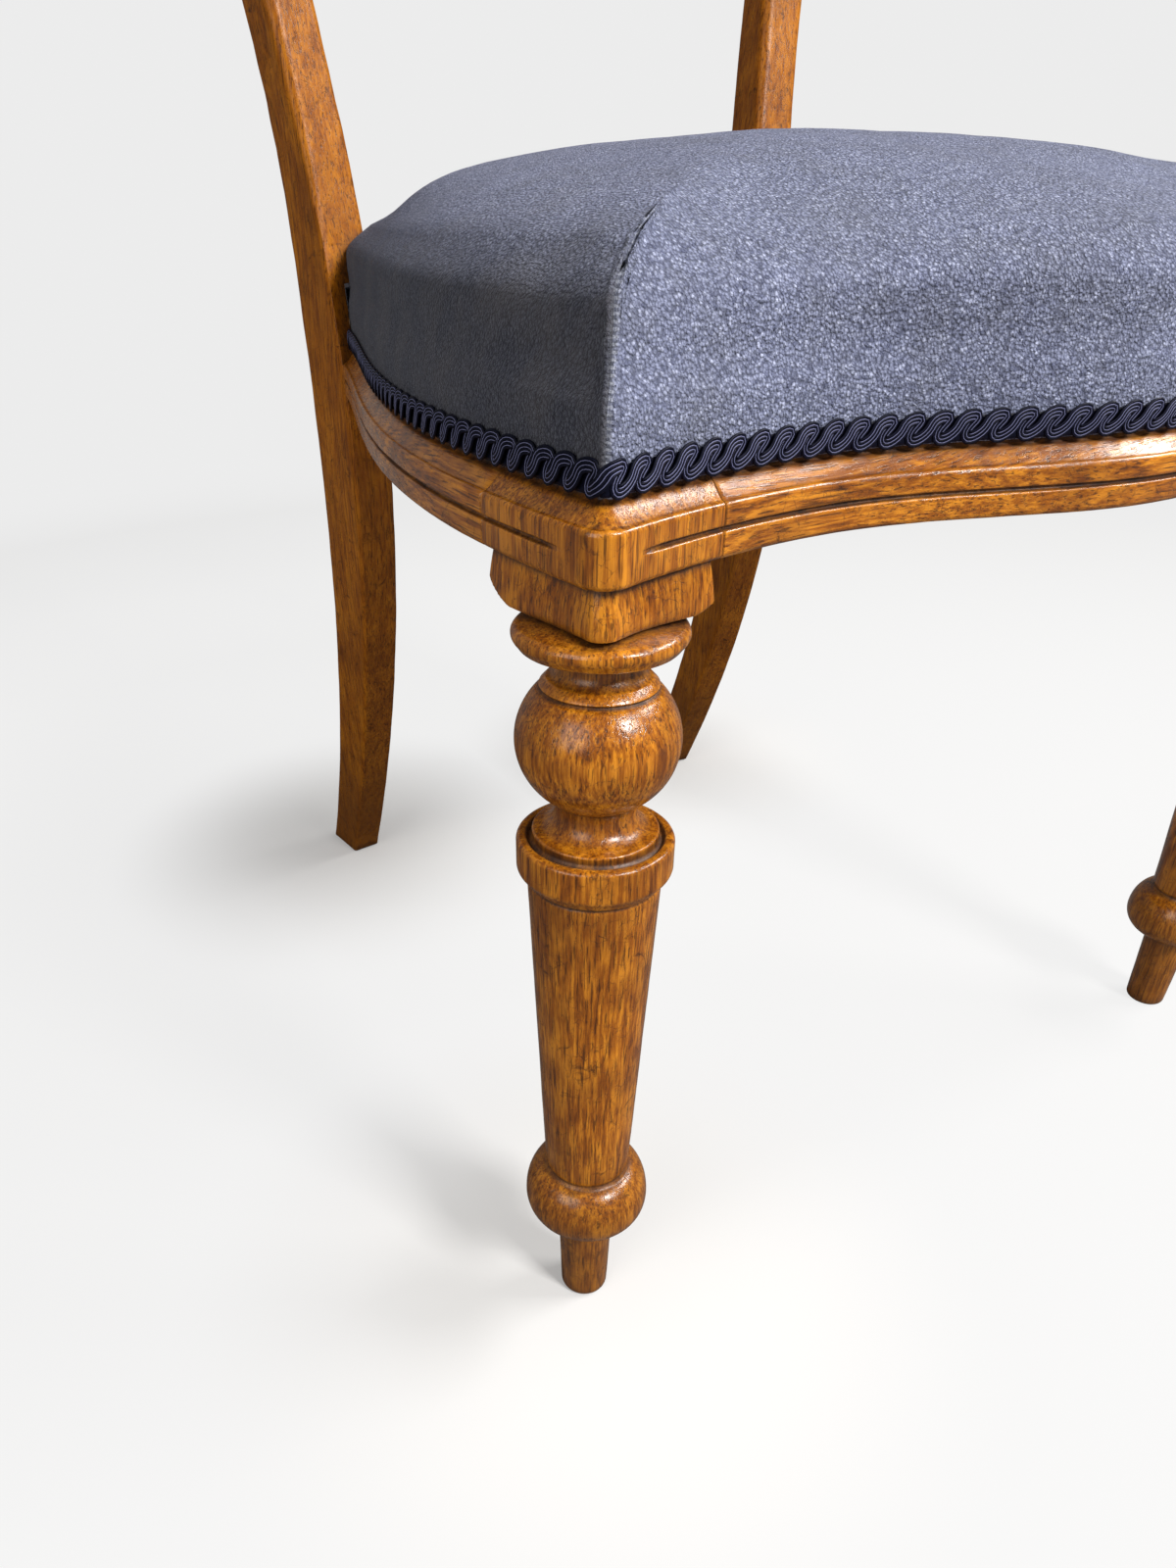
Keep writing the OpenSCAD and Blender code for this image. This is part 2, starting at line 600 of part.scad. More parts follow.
// Places along a strip as [place, lift], flat over each crossing
function web_crossings(sign) = [for (j = [0:web_count - 1]) for (side = [-1, 1])
    [web_place(j) + side * web_w * web_flat, sign * (j % 2 == 0 ? 1 : -1) * web_wave]];
function web_ring(a, b, z) = [[a[0], a[1], z - web_t / 2], [b[0], b[1], z - web_t / 2],
    [b[0], b[1], z + web_t / 2], [a[0], a[1], z + web_t / 2]];
module webbing_front_to_back() {
    color(jute) placed() for (i = [0:web_count - 1]) {
        x0 = web_place(i) - web_w / 2;
        x1 = x0 + web_w;
        sweep(concat(
            [web_ring([x0, front_line(x0) + web_seat], [x1, front_line(x1) + web_seat], web_z)],
            [for (s = web_crossings(i % 2 == 0 ? 1 : -1)) let (y = web_mid_y + s[0])
                web_ring([x0, y], [x1, y], web_z + s[1])],
            [web_ring([x0, rear_line(x0) + web_rear_seat], [x1, rear_line(x1) + web_rear_seat], web_z)]));
    }
}
module webbing_side_to_side() {
    color(jute) placed() for (j = [0:web_count - 1]) {
        y0 = web_mid_y + web_place(j) - web_w / 2;
        y1 = y0 + web_w;
        x0 = side_line(y0) - web_seat;
        x1 = side_line(y1) - web_seat;
        sweep(concat([web_ring([x0, y0], [x1, y1], web_z)],
            [for (s = web_crossings(j % 2 == 0 ? 1 : -1))
                web_ring([-s[0], y0], [-s[0], y1], web_z + s[1])],
            [web_ring([-x0, y0], [-x1, y1], web_z)]));
    }
}

// Plan outline of the left half of the soft layers, from the front middle round to the rear:
// inset from the rails' face, height z, pull of the corners, step e in from the layer outside it.
// Three points follow the rear leg, where the layers cross the rails' top instead of hanging outside
front_points = 10;
corner_points = 5;
side_points = 8;
rear_points = 4;
soft_gap = 0.5;
hem_turn = 2;
function soft_rear(x, inset) = rear_line(x) + rear_rail_t + rebate_d - inset;
soft_r = 0.8;
function half_outline(inset, z, pull, e) = let (cr = max(corner_r - inset, soft_r),
        cx = corner_x + max(0, inset - corner_r + soft_r) + pull, xf = cx + cr * sin(corner_slope),
        cy = front_line(xf) + inset + pull + cr * cos(corner_slope),
        y_end = leg_front(rear_half, z) - soft_gap - e, x_in = leg_inner(y_end, z) - soft_gap - e)
    concat(
        [for (i = [0:front_points - 1]) let (s = i / front_points)
            [xf * s, front_line(xf * s) + inset + pull * pow(s, 3)]],
        arc(cx, cy, cr, corner_slope - 90, -180, corner_points - 1),
        [for (i = [1:side_points]) let (s = i / side_points, y = mix(cy, y_end - hem_turn, s))
            [-(side_line(y) - inset - pull * pow(1 - s, 3)), y]],
        [[-(side_line(y_end) - inset), y_end], [-x_in, y_end], [-x_in, soft_rear(x_in, inset)]],
        [for (i = [0:rear_points - 1]) let (x = -(x_in - hem_turn) * (1 - i / rear_points))
            [x, soft_rear(x, inset)]]);
leg_first = front_points + corner_points + side_points;
function beside_leg(i, n) = let (h = min(i, n - i)) h >= leg_first && h < leg_first + 3;
function full_outline(inset, z, pull, e) = let (half = half_outline(inset, z, pull, e), n = len(half))
    concat(half, [[0, soft_rear(0, inset)]], [for (i = [n - 1:-1:1]) [-half[i][0], half[i][1]]]);
hem_z = rail_base + rebate_z + layer_gap;
function over_rails(z) = max(z, rail_top + layer_gap + (z - hem_z) / 15);
// The smooth oval that the outline turns into towards the crown
soft_front_y = front_line(leg_x);
soft_mid_y = (soft_rear(0, rebate_d) + soft_front_y) / 2;
crown_side_in = 6;
crown_front_in = 12;
crown_turn = 2.2;
crown_half_x = leg_x - crown_side_in;
crown_half_y = soft_mid_y - soft_front_y - crown_front_in;
function oval_radius(p) = let (d = p - [0, soft_mid_y], c = abs(d[0]) / norm(d), s = abs(d[1]) / norm(d))
    1 / pow(pow(c / crown_half_x, 4) + pow(s / crown_half_y, 4), 0.25);
function soft_ring(row, e) = let (inset = row[0] + e * row[3], s = row[1], z = row[2] - e * row[4],
        blend = swing((1 - s) * crown_turn))
    let (ring = full_outline(inset, z, row[5], e), n = len(ring))
    [for (i = [0:n - 1]) let (p = ring[i], d = p - [0, soft_mid_y],
            q = mix(d, unit(d) * oval_radius(p), blend) * s)
        [q[0], q[1] + soft_mid_y, beside_leg(i, n) ? over_rails(z) : z]];
// Rows of the cover's outer face: [inset, share of the outline, height, side lean, top lean, corner pull]
cover_in = rebate_d - layer_gap - cover_t;
shoulder_h = 24;
shoulder_z = rail_top + shoulder_h;
dome_h = crown - shoulder_h;
wall_rows = [[cover_in, 1, hem_z, 1, 0, 0], [cover_in, 1, rail_top - 9, 1, 0, 0],
    [cover_in + 1.2, 1, rail_top - 3, 1, 0, 1], [cover_in + 2.4, 1, rail_top + 3.2, 1, 0, 3],
    [cover_in + 2.8, 1, rail_top + 12, 1, 0, 6], [cover_in + 5, 1, rail_top + 20, 0.8, 0.5, 8]];
dome_rows = [for (s = [0.94, 0.8, 0.52, 0.12])
    [cover_in + 6, s, shoulder_z + dome_h * (1 - pow(s, 2.4)), 0.2, 1, 8 * s]];
cover_rows = concat(wall_rows, dome_rows);
// The wadding starts on the rails' top, and the stuffing one row higher
rows_below_top = 3;
function rows_from(first) = [for (i = [first:len(cover_rows) - 1]) cover_rows[i]];
function soft_rings(rows, e) = [for (r = rows) soft_ring(r, e)];
// A skin between two stacks of rings, open below
module skin(outer, inner) {
    n = len(outer);
    m = len(outer[0]);
    shift = n * m;
    out = concat(side_faces(n, m), [[for (j = [0:m - 1]) (n - 1) * m + j]]);
    back = [for (f = out) reversed([for (v = f) v + shift])];
    rim = [for (j = [0:m - 1]) let (k = (j + 1) % m) each [[j, shift + j, k], [k, shift + j, shift + k]]];
    polyhedron(concat(flat_list(outer), flat_list(inner)), concat(out, back, rim), convexity = 10);
}
hessian_t = 0.7;
hessian_z = web_z + web_wave + web_t / 2 + 0.15;
module hessian_base() {
    color(jute) placed() translate([0, 0, hessian_z]) linear_extrude(hessian_t)
        polygon(full_outline(rebate_d + top_bevel, rail_top, 4, 0));
}
module seat_stuffing() {
    e = cover_t + wadding_t + 2 * layer_gap;
    base_z = hessian_z + hessian_t + layer_gap;
    base_rows = [[cover_in + 3, 0.12, base_z, 1, 0, 0], [cover_in + 3, 1, base_z, 1, 0, 3]];
    color(beech) placed()
        sweep(soft_rings(concat(base_rows, rows_from(rows_below_top + 1)), e));
}
module seat_wadding() {
    e = cover_t + layer_gap;
    rows = rows_from(rows_below_top);
    color("white") placed() skin(soft_rings(rows, e), soft_rings(rows, e + wadding_t));
}
module seat_cover() {
    color(slate) placed() skin(soft_rings(cover_rows, 0), soft_rings(cover_rows, cover_t));
}

// Gimp: one run round the front and sides, one across the back.
// Its rows are [share of thickness, share of height]
gimp_z = hem_z + 0.2;
gimp_rows = [[0, 0.2], [0, 0.85], [0.55, 1], [1, 0.75], [1, 0.25], [0.55, 0]];
function gimp_ring(i) = [for (r = gimp_rows)
    let (p = half_outline(cover_in - layer_gap - gimp_t * r[0], gimp_z, 0, 0)[i])
        [p[0], p[1], gimp_z + gimp_h * r[1]]];
function other_half(run, first) = [for (i = [len(run) - 1:-1:first])
    [for (p = run[i]) [-p[0], p[1], p[2]]]];
module gimp_braid() {
    side_run = [for (i = [0:leg_first - 1]) gimp_ring(i)];
    rear_run = [for (i = [leg_first + 3:leg_first + 2 + rear_points]) gimp_ring(i)];
    color(navy) placed() {
        sweep(concat(other_half(side_run, 1), side_run));
        sweep(concat(rear_run, other_half(rear_run, 0)));
    }
}

front_leg(false);  // front_leg_left
front_leg(true);  // front_leg_right
rear_leg(false);  // rear_leg_left
rear_leg(true);  // rear_leg_right
front_seat_rail();
side_seat_rail(false);  // side_seat_rail_left
side_seat_rail(true);  // side_seat_rail_right
rear_seat_rail();
crest_rail();
back_cross_rail();
seat_rail_dowels();
crest_rail_dowels();
cross_rail_dowels();
front_brace(false);  // corner_brace_front_left
front_brace(true);  // corner_brace_front_right
rear_brace(false);  // corner_brace_rear_left
rear_brace(true);  // corner_brace_rear_right
corner_brace_screws();
webbing_front_to_back();
webbing_side_to_side();
hessian_base();
seat_stuffing();
seat_wadding();
seat_cover();
gimp_braid();
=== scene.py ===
"""Balloon back dining chair: oak frame, turned front legs and a stuffed-over seat with scroll gimp.

Lengths are in millimetres. Y is measured back from the front legs' axes, as a joiner would set the
chair out, and placed() turns a point into the frame's metres.
"""
import math

import bmesh
import bpy
import numpy as np
from mathutils import Matrix, Vector, noise
from mathutils.bvhtree import BVHTree


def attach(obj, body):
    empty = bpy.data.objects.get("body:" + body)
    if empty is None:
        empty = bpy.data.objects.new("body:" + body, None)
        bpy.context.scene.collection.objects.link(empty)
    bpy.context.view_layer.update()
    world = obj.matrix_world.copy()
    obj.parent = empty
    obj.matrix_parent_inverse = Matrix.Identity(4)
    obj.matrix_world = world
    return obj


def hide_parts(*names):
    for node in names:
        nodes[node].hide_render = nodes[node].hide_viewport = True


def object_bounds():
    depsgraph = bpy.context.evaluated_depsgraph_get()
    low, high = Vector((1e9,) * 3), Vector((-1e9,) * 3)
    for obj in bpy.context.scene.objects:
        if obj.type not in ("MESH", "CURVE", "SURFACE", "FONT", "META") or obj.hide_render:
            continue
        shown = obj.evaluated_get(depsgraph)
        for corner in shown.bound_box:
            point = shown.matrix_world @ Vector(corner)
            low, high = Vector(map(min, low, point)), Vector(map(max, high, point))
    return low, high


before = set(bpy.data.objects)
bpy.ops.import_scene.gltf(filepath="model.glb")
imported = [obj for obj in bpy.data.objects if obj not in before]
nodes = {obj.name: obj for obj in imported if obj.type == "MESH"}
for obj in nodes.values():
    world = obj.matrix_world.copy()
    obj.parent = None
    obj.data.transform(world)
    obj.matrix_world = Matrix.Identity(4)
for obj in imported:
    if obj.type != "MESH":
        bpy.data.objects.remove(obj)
cad_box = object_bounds()

# Camera: above and to the left of the near front leg, which stands nearly upright in the picture.
# Its place is measured from the foot of that leg, and front_reach is how far the front rail swells
# forward of the legs' axes.
MM = 0.001
leg_x = 211
front_reach = 42
centre_y = -cad_box[0].y / MM - front_reach
photo_size = (1200, 1600)
photo_centre = (544.565, 900.750)
focal_length = 1074.583
camera_from_leg = (-174.573, -268.484, 431.798)
yaw, pitch, roll = 0.508285, 0.575453, -0.011283

forward = Vector((math.sin(yaw) * math.cos(pitch), math.cos(yaw) * math.cos(pitch), -math.sin(pitch)))
level = Vector((math.cos(yaw), -math.sin(yaw), 0))
upright = level.cross(forward)
camera_right = math.cos(roll) * level + math.sin(roll) * upright
camera_up = math.cos(roll) * upright - math.sin(roll) * level
camera = bpy.data.objects.new("camera", bpy.data.cameras.new("camera"))
bpy.context.scene.collection.objects.link(camera)
bpy.context.scene.camera = camera
camera.matrix_world = Matrix((camera_right, camera_up, -forward)).transposed().to_4x4()
camera.location = ((camera_from_leg[0] - leg_x) * MM, (camera_from_leg[1] - centre_y) * MM,
                   camera_from_leg[2] * MM)
camera.data.sensor_width = 36
camera.data.lens = focal_length * camera.data.sensor_width / photo_size[1]
camera.data.shift_x = (photo_size[0] / 2 - photo_centre[0]) / photo_size[1]
camera.data.shift_y = (photo_centre[1] - photo_size[1] / 2) / photo_size[1]
camera.data.clip_start = 0.02

# Front legs: each is turned from a square oak billet whose head is left as the block that carries
# the seat rails' moulding round the corner. The turning has rounded the plate below the block.
rail_base = 340
rail_h = 52
# The seat frame in plan: the front rail's hollows and swell, the side rails' bow, the rear legs' place
hollow_out, front_swell, hollow_x, front_return = 13.5, 28.5, 135, 11
side_out, side_widest, side_sweep, side_return = 23.5, 38, 450, 1.25
rear_half, rear_seat_y, rear_tuck = 161.5, 349, 1.3
side_draw = 2 * (leg_x + side_out - rear_half + rear_tuck) / (
    1 - math.cos(math.pi * (rear_seat_y - side_widest) / side_sweep))
# The moulding, from its lower edge up
low_band, groove_w, groove_d, high_band, slope_h, slope_w = 8, 1.8, 1.8, 7, 5.2, 7
rebate_d, top_bevel, bottom_bevel, rebate_rise = 9, 6, 1.2, 1.3
# The block and the plate below it, whose faces stand in by these and flare out again to a lip
joint_in, side_joint_in, corner_r = 32, 34, 9.5
plate_in, plate_front_in, plate_side_in, plate_back_in, plate_end_in = 3.6, 0.8, 1.0, 0.4, 0.8
plate_h, plate_edge, shoulder_r, shoulder_out, shoulder_h = 16.2, 0.8, 30.5, 9.5, 7
plate_flare = 2.6
# The turning's radii
disc_r, ball_r, drum_r, ring_r, peg_r, neck_r = 28.4, 28, 28, 26.6, 10.6, 14.2
shaft_top_r, shaft_low_r = 24.2, 17.8
arris_z = low_band + groove_w + high_band
slope_z = arris_z + slope_h
rebate_z = slope_z + rebate_rise
rail_top = rail_base + rail_h
joint_x, joint_y = leg_x - joint_in, side_joint_in


def placed(points):
    """Points of the set-out chair, in the frame's metres."""
    return [(x * MM, (y - centre_y) * MM, z * MM) for x, y, z in points]


def mix(a, b, share):
    return a + (b - a) * share


def swing(share):
    """Eases from 0 to 1."""
    return (1 - math.cos(math.pi * min(max(share, 0), 1))) / 2


def arc(cx, cz, rx, rz, start, end, count):
    """Points round an ellipse, angles in degrees."""
    angles = [math.radians(mix(start, end, i / count)) for i in range(count + 1)]
    return [(cx + rx * math.cos(a), cz + rz * math.sin(a)) for a in angles]


def front_line(x):
    """Face of the front rail in plan: a swell between two hollows, coming forward again at the legs."""
    a = abs(x)
    if a < hollow_x:
        return -hollow_out - front_swell * (1 + math.cos(math.pi * a / hollow_x)) / 2
    return -hollow_out - front_return * ((a - hollow_x) / (leg_x - hollow_x)) ** 2


def side_line(y):
    """Half width of the seat frame: widest behind the front leg, then drawn in to the rear leg."""
    if y < side_widest:
        return leg_x + side_out - side_return * ((side_widest - y) / side_widest) ** 2
    return leg_x + side_out - side_draw * (1 - math.cos(math.pi * (y - side_widest) / side_sweep)) / 2


def eased_corners(outline, radius, steps=3):
    """An open outline whose corners are rounded, as sandpaper and handling leave them."""
    shortest, least_turn, most_cut = 1e-6, 0.25, 0.45
    eased = [outline[0]]
    for before, corner, after in zip(outline, outline[1:], outline[2:]):
        a, b, c = Vector(before), Vector(corner), Vector(after)
        if min((b - a).length, (c - b).length) < shortest or (b - a).angle(c - b) < least_turn:
            eased.append(corner)
            continue
        cut = min(radius, (b - a).length * most_cut, (c - b).length * most_cut)
        start, end = b + (a - b).normalized() * cut, b + (c - b).normalized() * cut
        eased += [tuple((1 - t) ** 2 * start + 2 * t * (1 - t) * b + t * t * end)
                  for t in [i / steps for i in range(steps + 1)]]
    return eased + [outline[-1]]


def sliced(outline, longest):
    """The same outline with no step longer than that."""
    points = [outline[0]]
    for a, b in zip(outline, outline[1:]):
        count = max(1, math.ceil((Vector(b) - Vector(a)).length / longest))
        points += [tuple(Vector(a).lerp(Vector(b), (i + 1) / count)) for i in range(count)]
    return points


def skin_faces(rings, around):
    """Quads between rings that follow each other in one list of points."""
    return [(r * around + i, r * around + (i + 1) % around,
             (r + 1) * around + (i + 1) % around, (r + 1) * around + i)
            for r in range(rings - 1) for i in range(around)]


def solid_of(rings):
    """Points and faces of a closed solid swept through rings of equal length."""
    around, count = len(rings[0]), len(rings)
    last = (count - 1) * around
    faces = skin_faces(count, around) + [tuple(range(around))[::-1], tuple(range(last, last + around))]
    return [p for ring in rings for p in ring], faces


def joined(*solids):
    """Several solids as one list of points and faces."""
    points, faces = [], []
    for some_points, some_faces in solids:
        faces += [tuple(i + len(points) for i in face) for face in some_faces]
        points += some_points
    return points, faces


def weathered(mesh):
    """Marks each point's wear, on convex edges, and grime with painted shade, in hollows, from how the mesh
    bends there.

    Bends are in radians to a metre, and each mark starts at a share of its full bend.
    """
    full_wear, wear_start, full_grime_shade, grime_shade_start, passes = 260, 0.15, 120, 0.1, 3
    points = np.zeros(len(mesh.vertices) * 3)
    normals = np.zeros(len(mesh.vertices) * 3)
    edges = np.zeros(len(mesh.edges) * 2, dtype=int)
    mesh.vertices.foreach_get("co", points)
    mesh.vertices.foreach_get("normal", normals)
    mesh.edges.foreach_get("vertices", edges)
    points, normals, edges = points.reshape(-1, 3), normals.reshape(-1, 3), edges.reshape(-1, 2)
    a, b = edges.T
    step = points[a] - points[b]
    length2 = np.maximum((step ** 2).sum(1), 1e-10)
    bend, weight = np.zeros(len(points)), np.zeros(len(points))
    for here, sign in ((a, 1), (b, -1)):
        np.add.at(bend, here, sign * (normals[here] * step).sum(1) / np.sqrt(length2))
        np.add.at(weight, here, np.sqrt(length2))
    bend /= np.maximum(weight, 1e-9)
    count = np.bincount(edges.ravel(), minlength=len(points)).clip(1)
    for _ in range(passes):
        total = np.bincount(a, bend[b], len(points)) + np.bincount(b, bend[a], len(points))
        bend = (bend + total / count) / 2
    # The hollows' mark is partly grime and partly painted shade where the hollows lie in shadow.
    for name, value in (("wear", bend / full_wear - wear_start), ("grime_and_shade", -bend / full_grime_shade - grime_shade_start)):
        mesh.attributes.new(name, "FLOAT", "POINT").data.foreach_set("value", np.clip(value, 0, 1))


def wood_piece(name, solid, material, nodes, mirror=False, uneven=0.12):
    """A piece of the frame from its points and faces, a little uneven from the hand tools that made it."""
    same_point, sharp, broad_waves, close_waves, close_share, sunk = 2e-6, 40, 45, 160, 0.4, 0.3
    points, faces = solid
    if mirror:
        points, faces = [(-x, y, z) for x, y, z in points], [face[::-1] for face in faces]
    mesh = bpy.data.meshes.new(name)
    mesh.from_pydata(placed(points), [], faces)
    shape = bmesh.new()
    shape.from_mesh(mesh)
    bmesh.ops.remove_doubles(shape, verts=shape.verts, dist=same_point)
    bmesh.ops.recalc_face_normals(shape, faces=shape.faces)
    shape.normal_update()
    shape.to_mesh(mesh)
    shape.free()
    weathered(mesh)
    spots, outward = np.zeros(len(mesh.vertices) * 3), np.zeros(len(mesh.vertices) * 3)
    mesh.vertices.foreach_get("co", spots)
    mesh.vertices.foreach_get("normal", outward)
    spots, outward = spots.reshape(-1, 3), outward.reshape(-1, 3)
    drift = np.array([noise.noise(p * broad_waves) + close_share * noise.noise(p * close_waves)
                      for p in map(Vector, spots)])
    mesh.vertices.foreach_set("co", (spots + outward * (drift - sunk)[:, None] * uneven * MM).ravel())
    mesh.shade_smooth()
    mesh.set_sharp_from_angle(angle=math.radians(sharp))
    mesh.materials.append(material)
    piece = bpy.data.objects.new(name, mesh)
    bpy.context.scene.collection.objects.link(piece)
    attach(piece, "root")
    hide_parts(*nodes)
    return piece


def put(tree, kind, settings=(), **sockets):
    """A node with its settings and its sockets: values, or another node's output.

    A space in a socket's name is written _, and _0 is the first socket.
    """
    full_name = kind.startswith(("Geometry", "NodeGroup"))
    node = tree.nodes.new(kind if full_name else "ShaderNode" + kind)
    for key, value in dict(settings).items():
        setattr(node, key, value)
    for key, value in sockets.items():
        socket = node.inputs[int(key[1:])] if key[1:].isdigit() else node.inputs[key.replace("_", " ")]
        if isinstance(value, bpy.types.NodeSocket):
            tree.links.new(value, socket)
        else:
            socket.default_value = value
    return node


def ramp(tree, value, *stops):
    """A colour ramp with stops of place and grey level or colour."""
    node = put(tree, "ValToRGB", Fac=value)
    while len(node.color_ramp.elements) < len(stops):
        node.color_ramp.elements.new(0.5)
    for element, (place, colour) in zip(node.color_ramp.elements, stops):
        element.position = place
        element.color = (*colour, 1) if hasattr(colour, "__len__") else (colour, colour, colour, 1)
    return node.outputs[0]


def tinted(tree, share, below, above):
    """One colour laid over another, by a share."""
    node = put(tree, "Mix", {"data_type": "RGBA"}, _0=share)
    for index, colour in ((6, below), (7, above)):
        if isinstance(colour, bpy.types.NodeSocket):
            tree.links.new(colour, node.inputs[index])
        else:
            node.inputs[index].default_value = (*colour, 1)
    return node.outputs[2]


def reckoned(tree, a, b, kind="ADD", clamp=False):
    """Two values put together, as their sum or in another way."""
    return put(tree, "Math", {"operation": kind, "use_clamp": clamp}, _0=a, _1=b).outputs[0]


def times(tree, a, b, clamp=False):
    return reckoned(tree, a, b, "MULTIPLY", clamp)


def blend_of(tree, *parts):
    """The sum of values, each with its weight."""
    total = times(tree, *parts[0])
    for value, weight in parts[1:]:
        total = reckoned(tree, total, times(tree, value, weight))
    return total


def speckle(tree, place, scale, detail=2, rough=0.5, twist=0, output="Fac"):
    """Noise with about that many spots to a metre."""
    return put(tree, "TexNoise", Vector=place, Scale=scale, Detail=detail, Roughness=rough,
               Distortion=twist).outputs[output]


def wandering(tree, place, scale, detail, reach):
    """The place moved about by up to that reach, so that a pattern on it isn't regular."""
    drift = speckle(tree, place, scale, detail, output="Color")
    return put(tree, "VectorMath", {"operation": "MULTIPLY_ADD"}, _0=drift, _1=(reach,) * 3,
               _2=place).outputs[0]


def mark_on(tree, name):
    """What the mesh's own mark of that name says at each point."""
    return put(tree, "Attribute", {"attribute_name": name}).outputs["Fac"]


def shaded(colour, share):
    return tuple(c * share for c in colour)


def new_finish(name):
    """A new material, its node tree, its surface node and the place on the piece."""
    material = bpy.data.materials.new(name)
    material.use_nodes = True
    tree = material.node_tree
    return material, tree, tree.nodes["Principled BSDF"], put(tree, "TexCoord").outputs["Object"]


def set_surface(tree, surface, **sockets):
    """Gives sockets of the surface node a value or another node's output. Spaces are written _."""
    for key, value in sockets.items():
        socket = surface.inputs[key.replace("_", " ")]
        if isinstance(value, bpy.types.NodeSocket):
            tree.links.new(value, socket)
        else:
            socket.default_value = value


grain_turns = {"x": (0, math.radians(90), 0), "y": (math.radians(90), 0, 0), "z": (0, 0, 0)}
# The wood is darker near the floor, from this height down to full strength
darker_from_height, darkest_height, low_dark_share, low_dark_tone = 0.12, 0.05, 0.5, (0.105, 0.038, 0.008)


def oak(name, grain, tones, pith, gloss=0.11, polish=1.0):
    """Polished oak: growth rings, figure and open pores along the grain, ray flecks, stains, fine cracks
    in the old polish, grime and painted shade in the hollows, darker wood near the floor, and bare edges."""
    pale, tan, brown = tones
    dark = shaded(brown, 0.20)
    material, tree, surface, place = new_finish(name)
    turned = put(tree, "Mapping", Vector=place, Rotation=grain_turns[grain]).outputs[0]
    grown = put(tree, "Mapping", Vector=turned, Location=pith, Scale=(1, 1, 0.22)).outputs[0]
    fine = put(tree, "Mapping", Vector=turned, Location=pith, Scale=(1, 1, 0.04)).outputs[0]
    ray = put(tree, "Mapping", Vector=turned, Scale=(1, 0.35, 0.22)).outputs[0]

    figure = speckle(tree, grown, 130, detail=3, rough=0.6, twist=0.8)
    swirl = speckle(tree, grown, 34, detail=1, rough=0.4, twist=0.3)
    rings = reckoned(tree, times(tree, swirl, 26), 1, "PINGPONG")
    streaks = speckle(tree, fine, 760, detail=4, rough=0.72)
    pores = speckle(tree, fine, 1500, rough=0.55)
    flecks = speckle(tree, ray, 190)
    cloud = speckle(tree, place, 30, detail=3, rough=0.6)
    stains = speckle(tree, place, 110, detail=7, rough=0.75, twist=0.8)
    scuffs = speckle(tree, place, 70, detail=8, rough=0.8, twist=1.5)
    crazed = wandering(tree, place, 220, detail=3, reach=0.004)
    cracks = put(tree, "TexVoronoi", {"feature": "DISTANCE_TO_EDGE"}, Vector=crazed,
                 Scale=230).outputs["Distance"]
    # Painted shade: ambient occlusion finds the hollows, and the wood is darkened there.
    occlusion_shade = put(tree, "AmbientOcclusion", {"samples": 8}, Distance=0.009).outputs["AO"]

    body = ramp(tree, blend_of(tree, (figure, 0.32), (streaks, 0.62), (rings, 0.06)),
                (0.36, brown), (0.47, tan), (0.59, pale))
    body = tinted(tree, ramp(tree, cloud, (0.40, 0.0), (0.66, 0.55)), body, brown)
    body = tinted(tree, ramp(tree, flecks, (0.58, 0.0), (0.68, 0.45)), body, pale)
    in_pore = ramp(tree, pores, (0.57, 0.0), (0.64, 1.0))
    body = tinted(tree, times(tree, in_pore, 0.68), body, dark)
    body = tinted(tree, ramp(tree, stains, (0.57, 0.0), (0.68, 0.75)), body, dark)
    in_crack = times(tree, ramp(tree, cracks, (0.0, 1.0), (0.035, 0.0)),
                     ramp(tree, scuffs, (0.50, 0.0), (0.60, 0.8)))
    body = tinted(tree, in_crack, body, dark)
    worn = times(tree, mark_on(tree, "wear"), ramp(tree, scuffs, (0.36, 0.15), (0.62, 1.0)), clamp=True)
    body = tinted(tree, times(tree, worn, 0.6), body, tuple(min(1, c * 1.35) for c in pale))
    # Grime and painted shade: the wood darkens in hollows that the occlusion finds or the mesh's mark gives.
    grime_and_painted_shade = reckoned(tree, mark_on(tree, "grime_and_shade"), ramp(tree, occlusion_shade, (0.42, 1.0), (0.88, 0.0)), clamp=True)
    grime_and_painted_shade = times(tree, grime_and_painted_shade, ramp(tree, stains, (0.3, 0.55), (0.6, 1.0)))
    body = tinted(tree, times(tree, grime_and_painted_shade, 0.88), body, tuple(c * 0.10 + 0.003 for c in brown))
    height = put(tree, "SeparateXYZ", Vector=place).outputs[2]
    low_darkening = put(tree, "MapRange", Value=height, From_Min=darker_from_height, From_Max=darkest_height, To_Max=low_dark_share)
    body = tinted(tree, low_darkening.outputs[0], body, low_dark_tone)

    dull = reckoned(tree, ramp(tree, scuffs, (0.40, gloss), (0.7, gloss + 0.2)), times(tree, grime_and_painted_shade, 0.35))
    relief = blend_of(tree, (in_pore, -0.9), (streaks, 0.5), (scuffs, 0.7), (in_crack, -0.8))
    bump = put(tree, "Bump", Height=relief, Strength=0.4, Distance=0.0006).outputs[0]
    polish_bump = put(tree, "Bump", Height=relief, Strength=0.16, Distance=0.0006).outputs[0]
    set_surface(tree, surface, Base_Color=body, Roughness=reckoned(tree, dull, 0.3), Normal=bump,
                Specular_IOR_Level=0.08, Coat_Weight=polish, Coat_Roughness=dull, Coat_Normal=polish_bump)
    return material


honey = (0.68, 0.250, 0.013), (0.345, 0.099, 0.0025), (0.135, 0.033, 0.0012)
leg_oak = oak("leg oak", "z", honey, pith=(0.15, 0.09, 0))

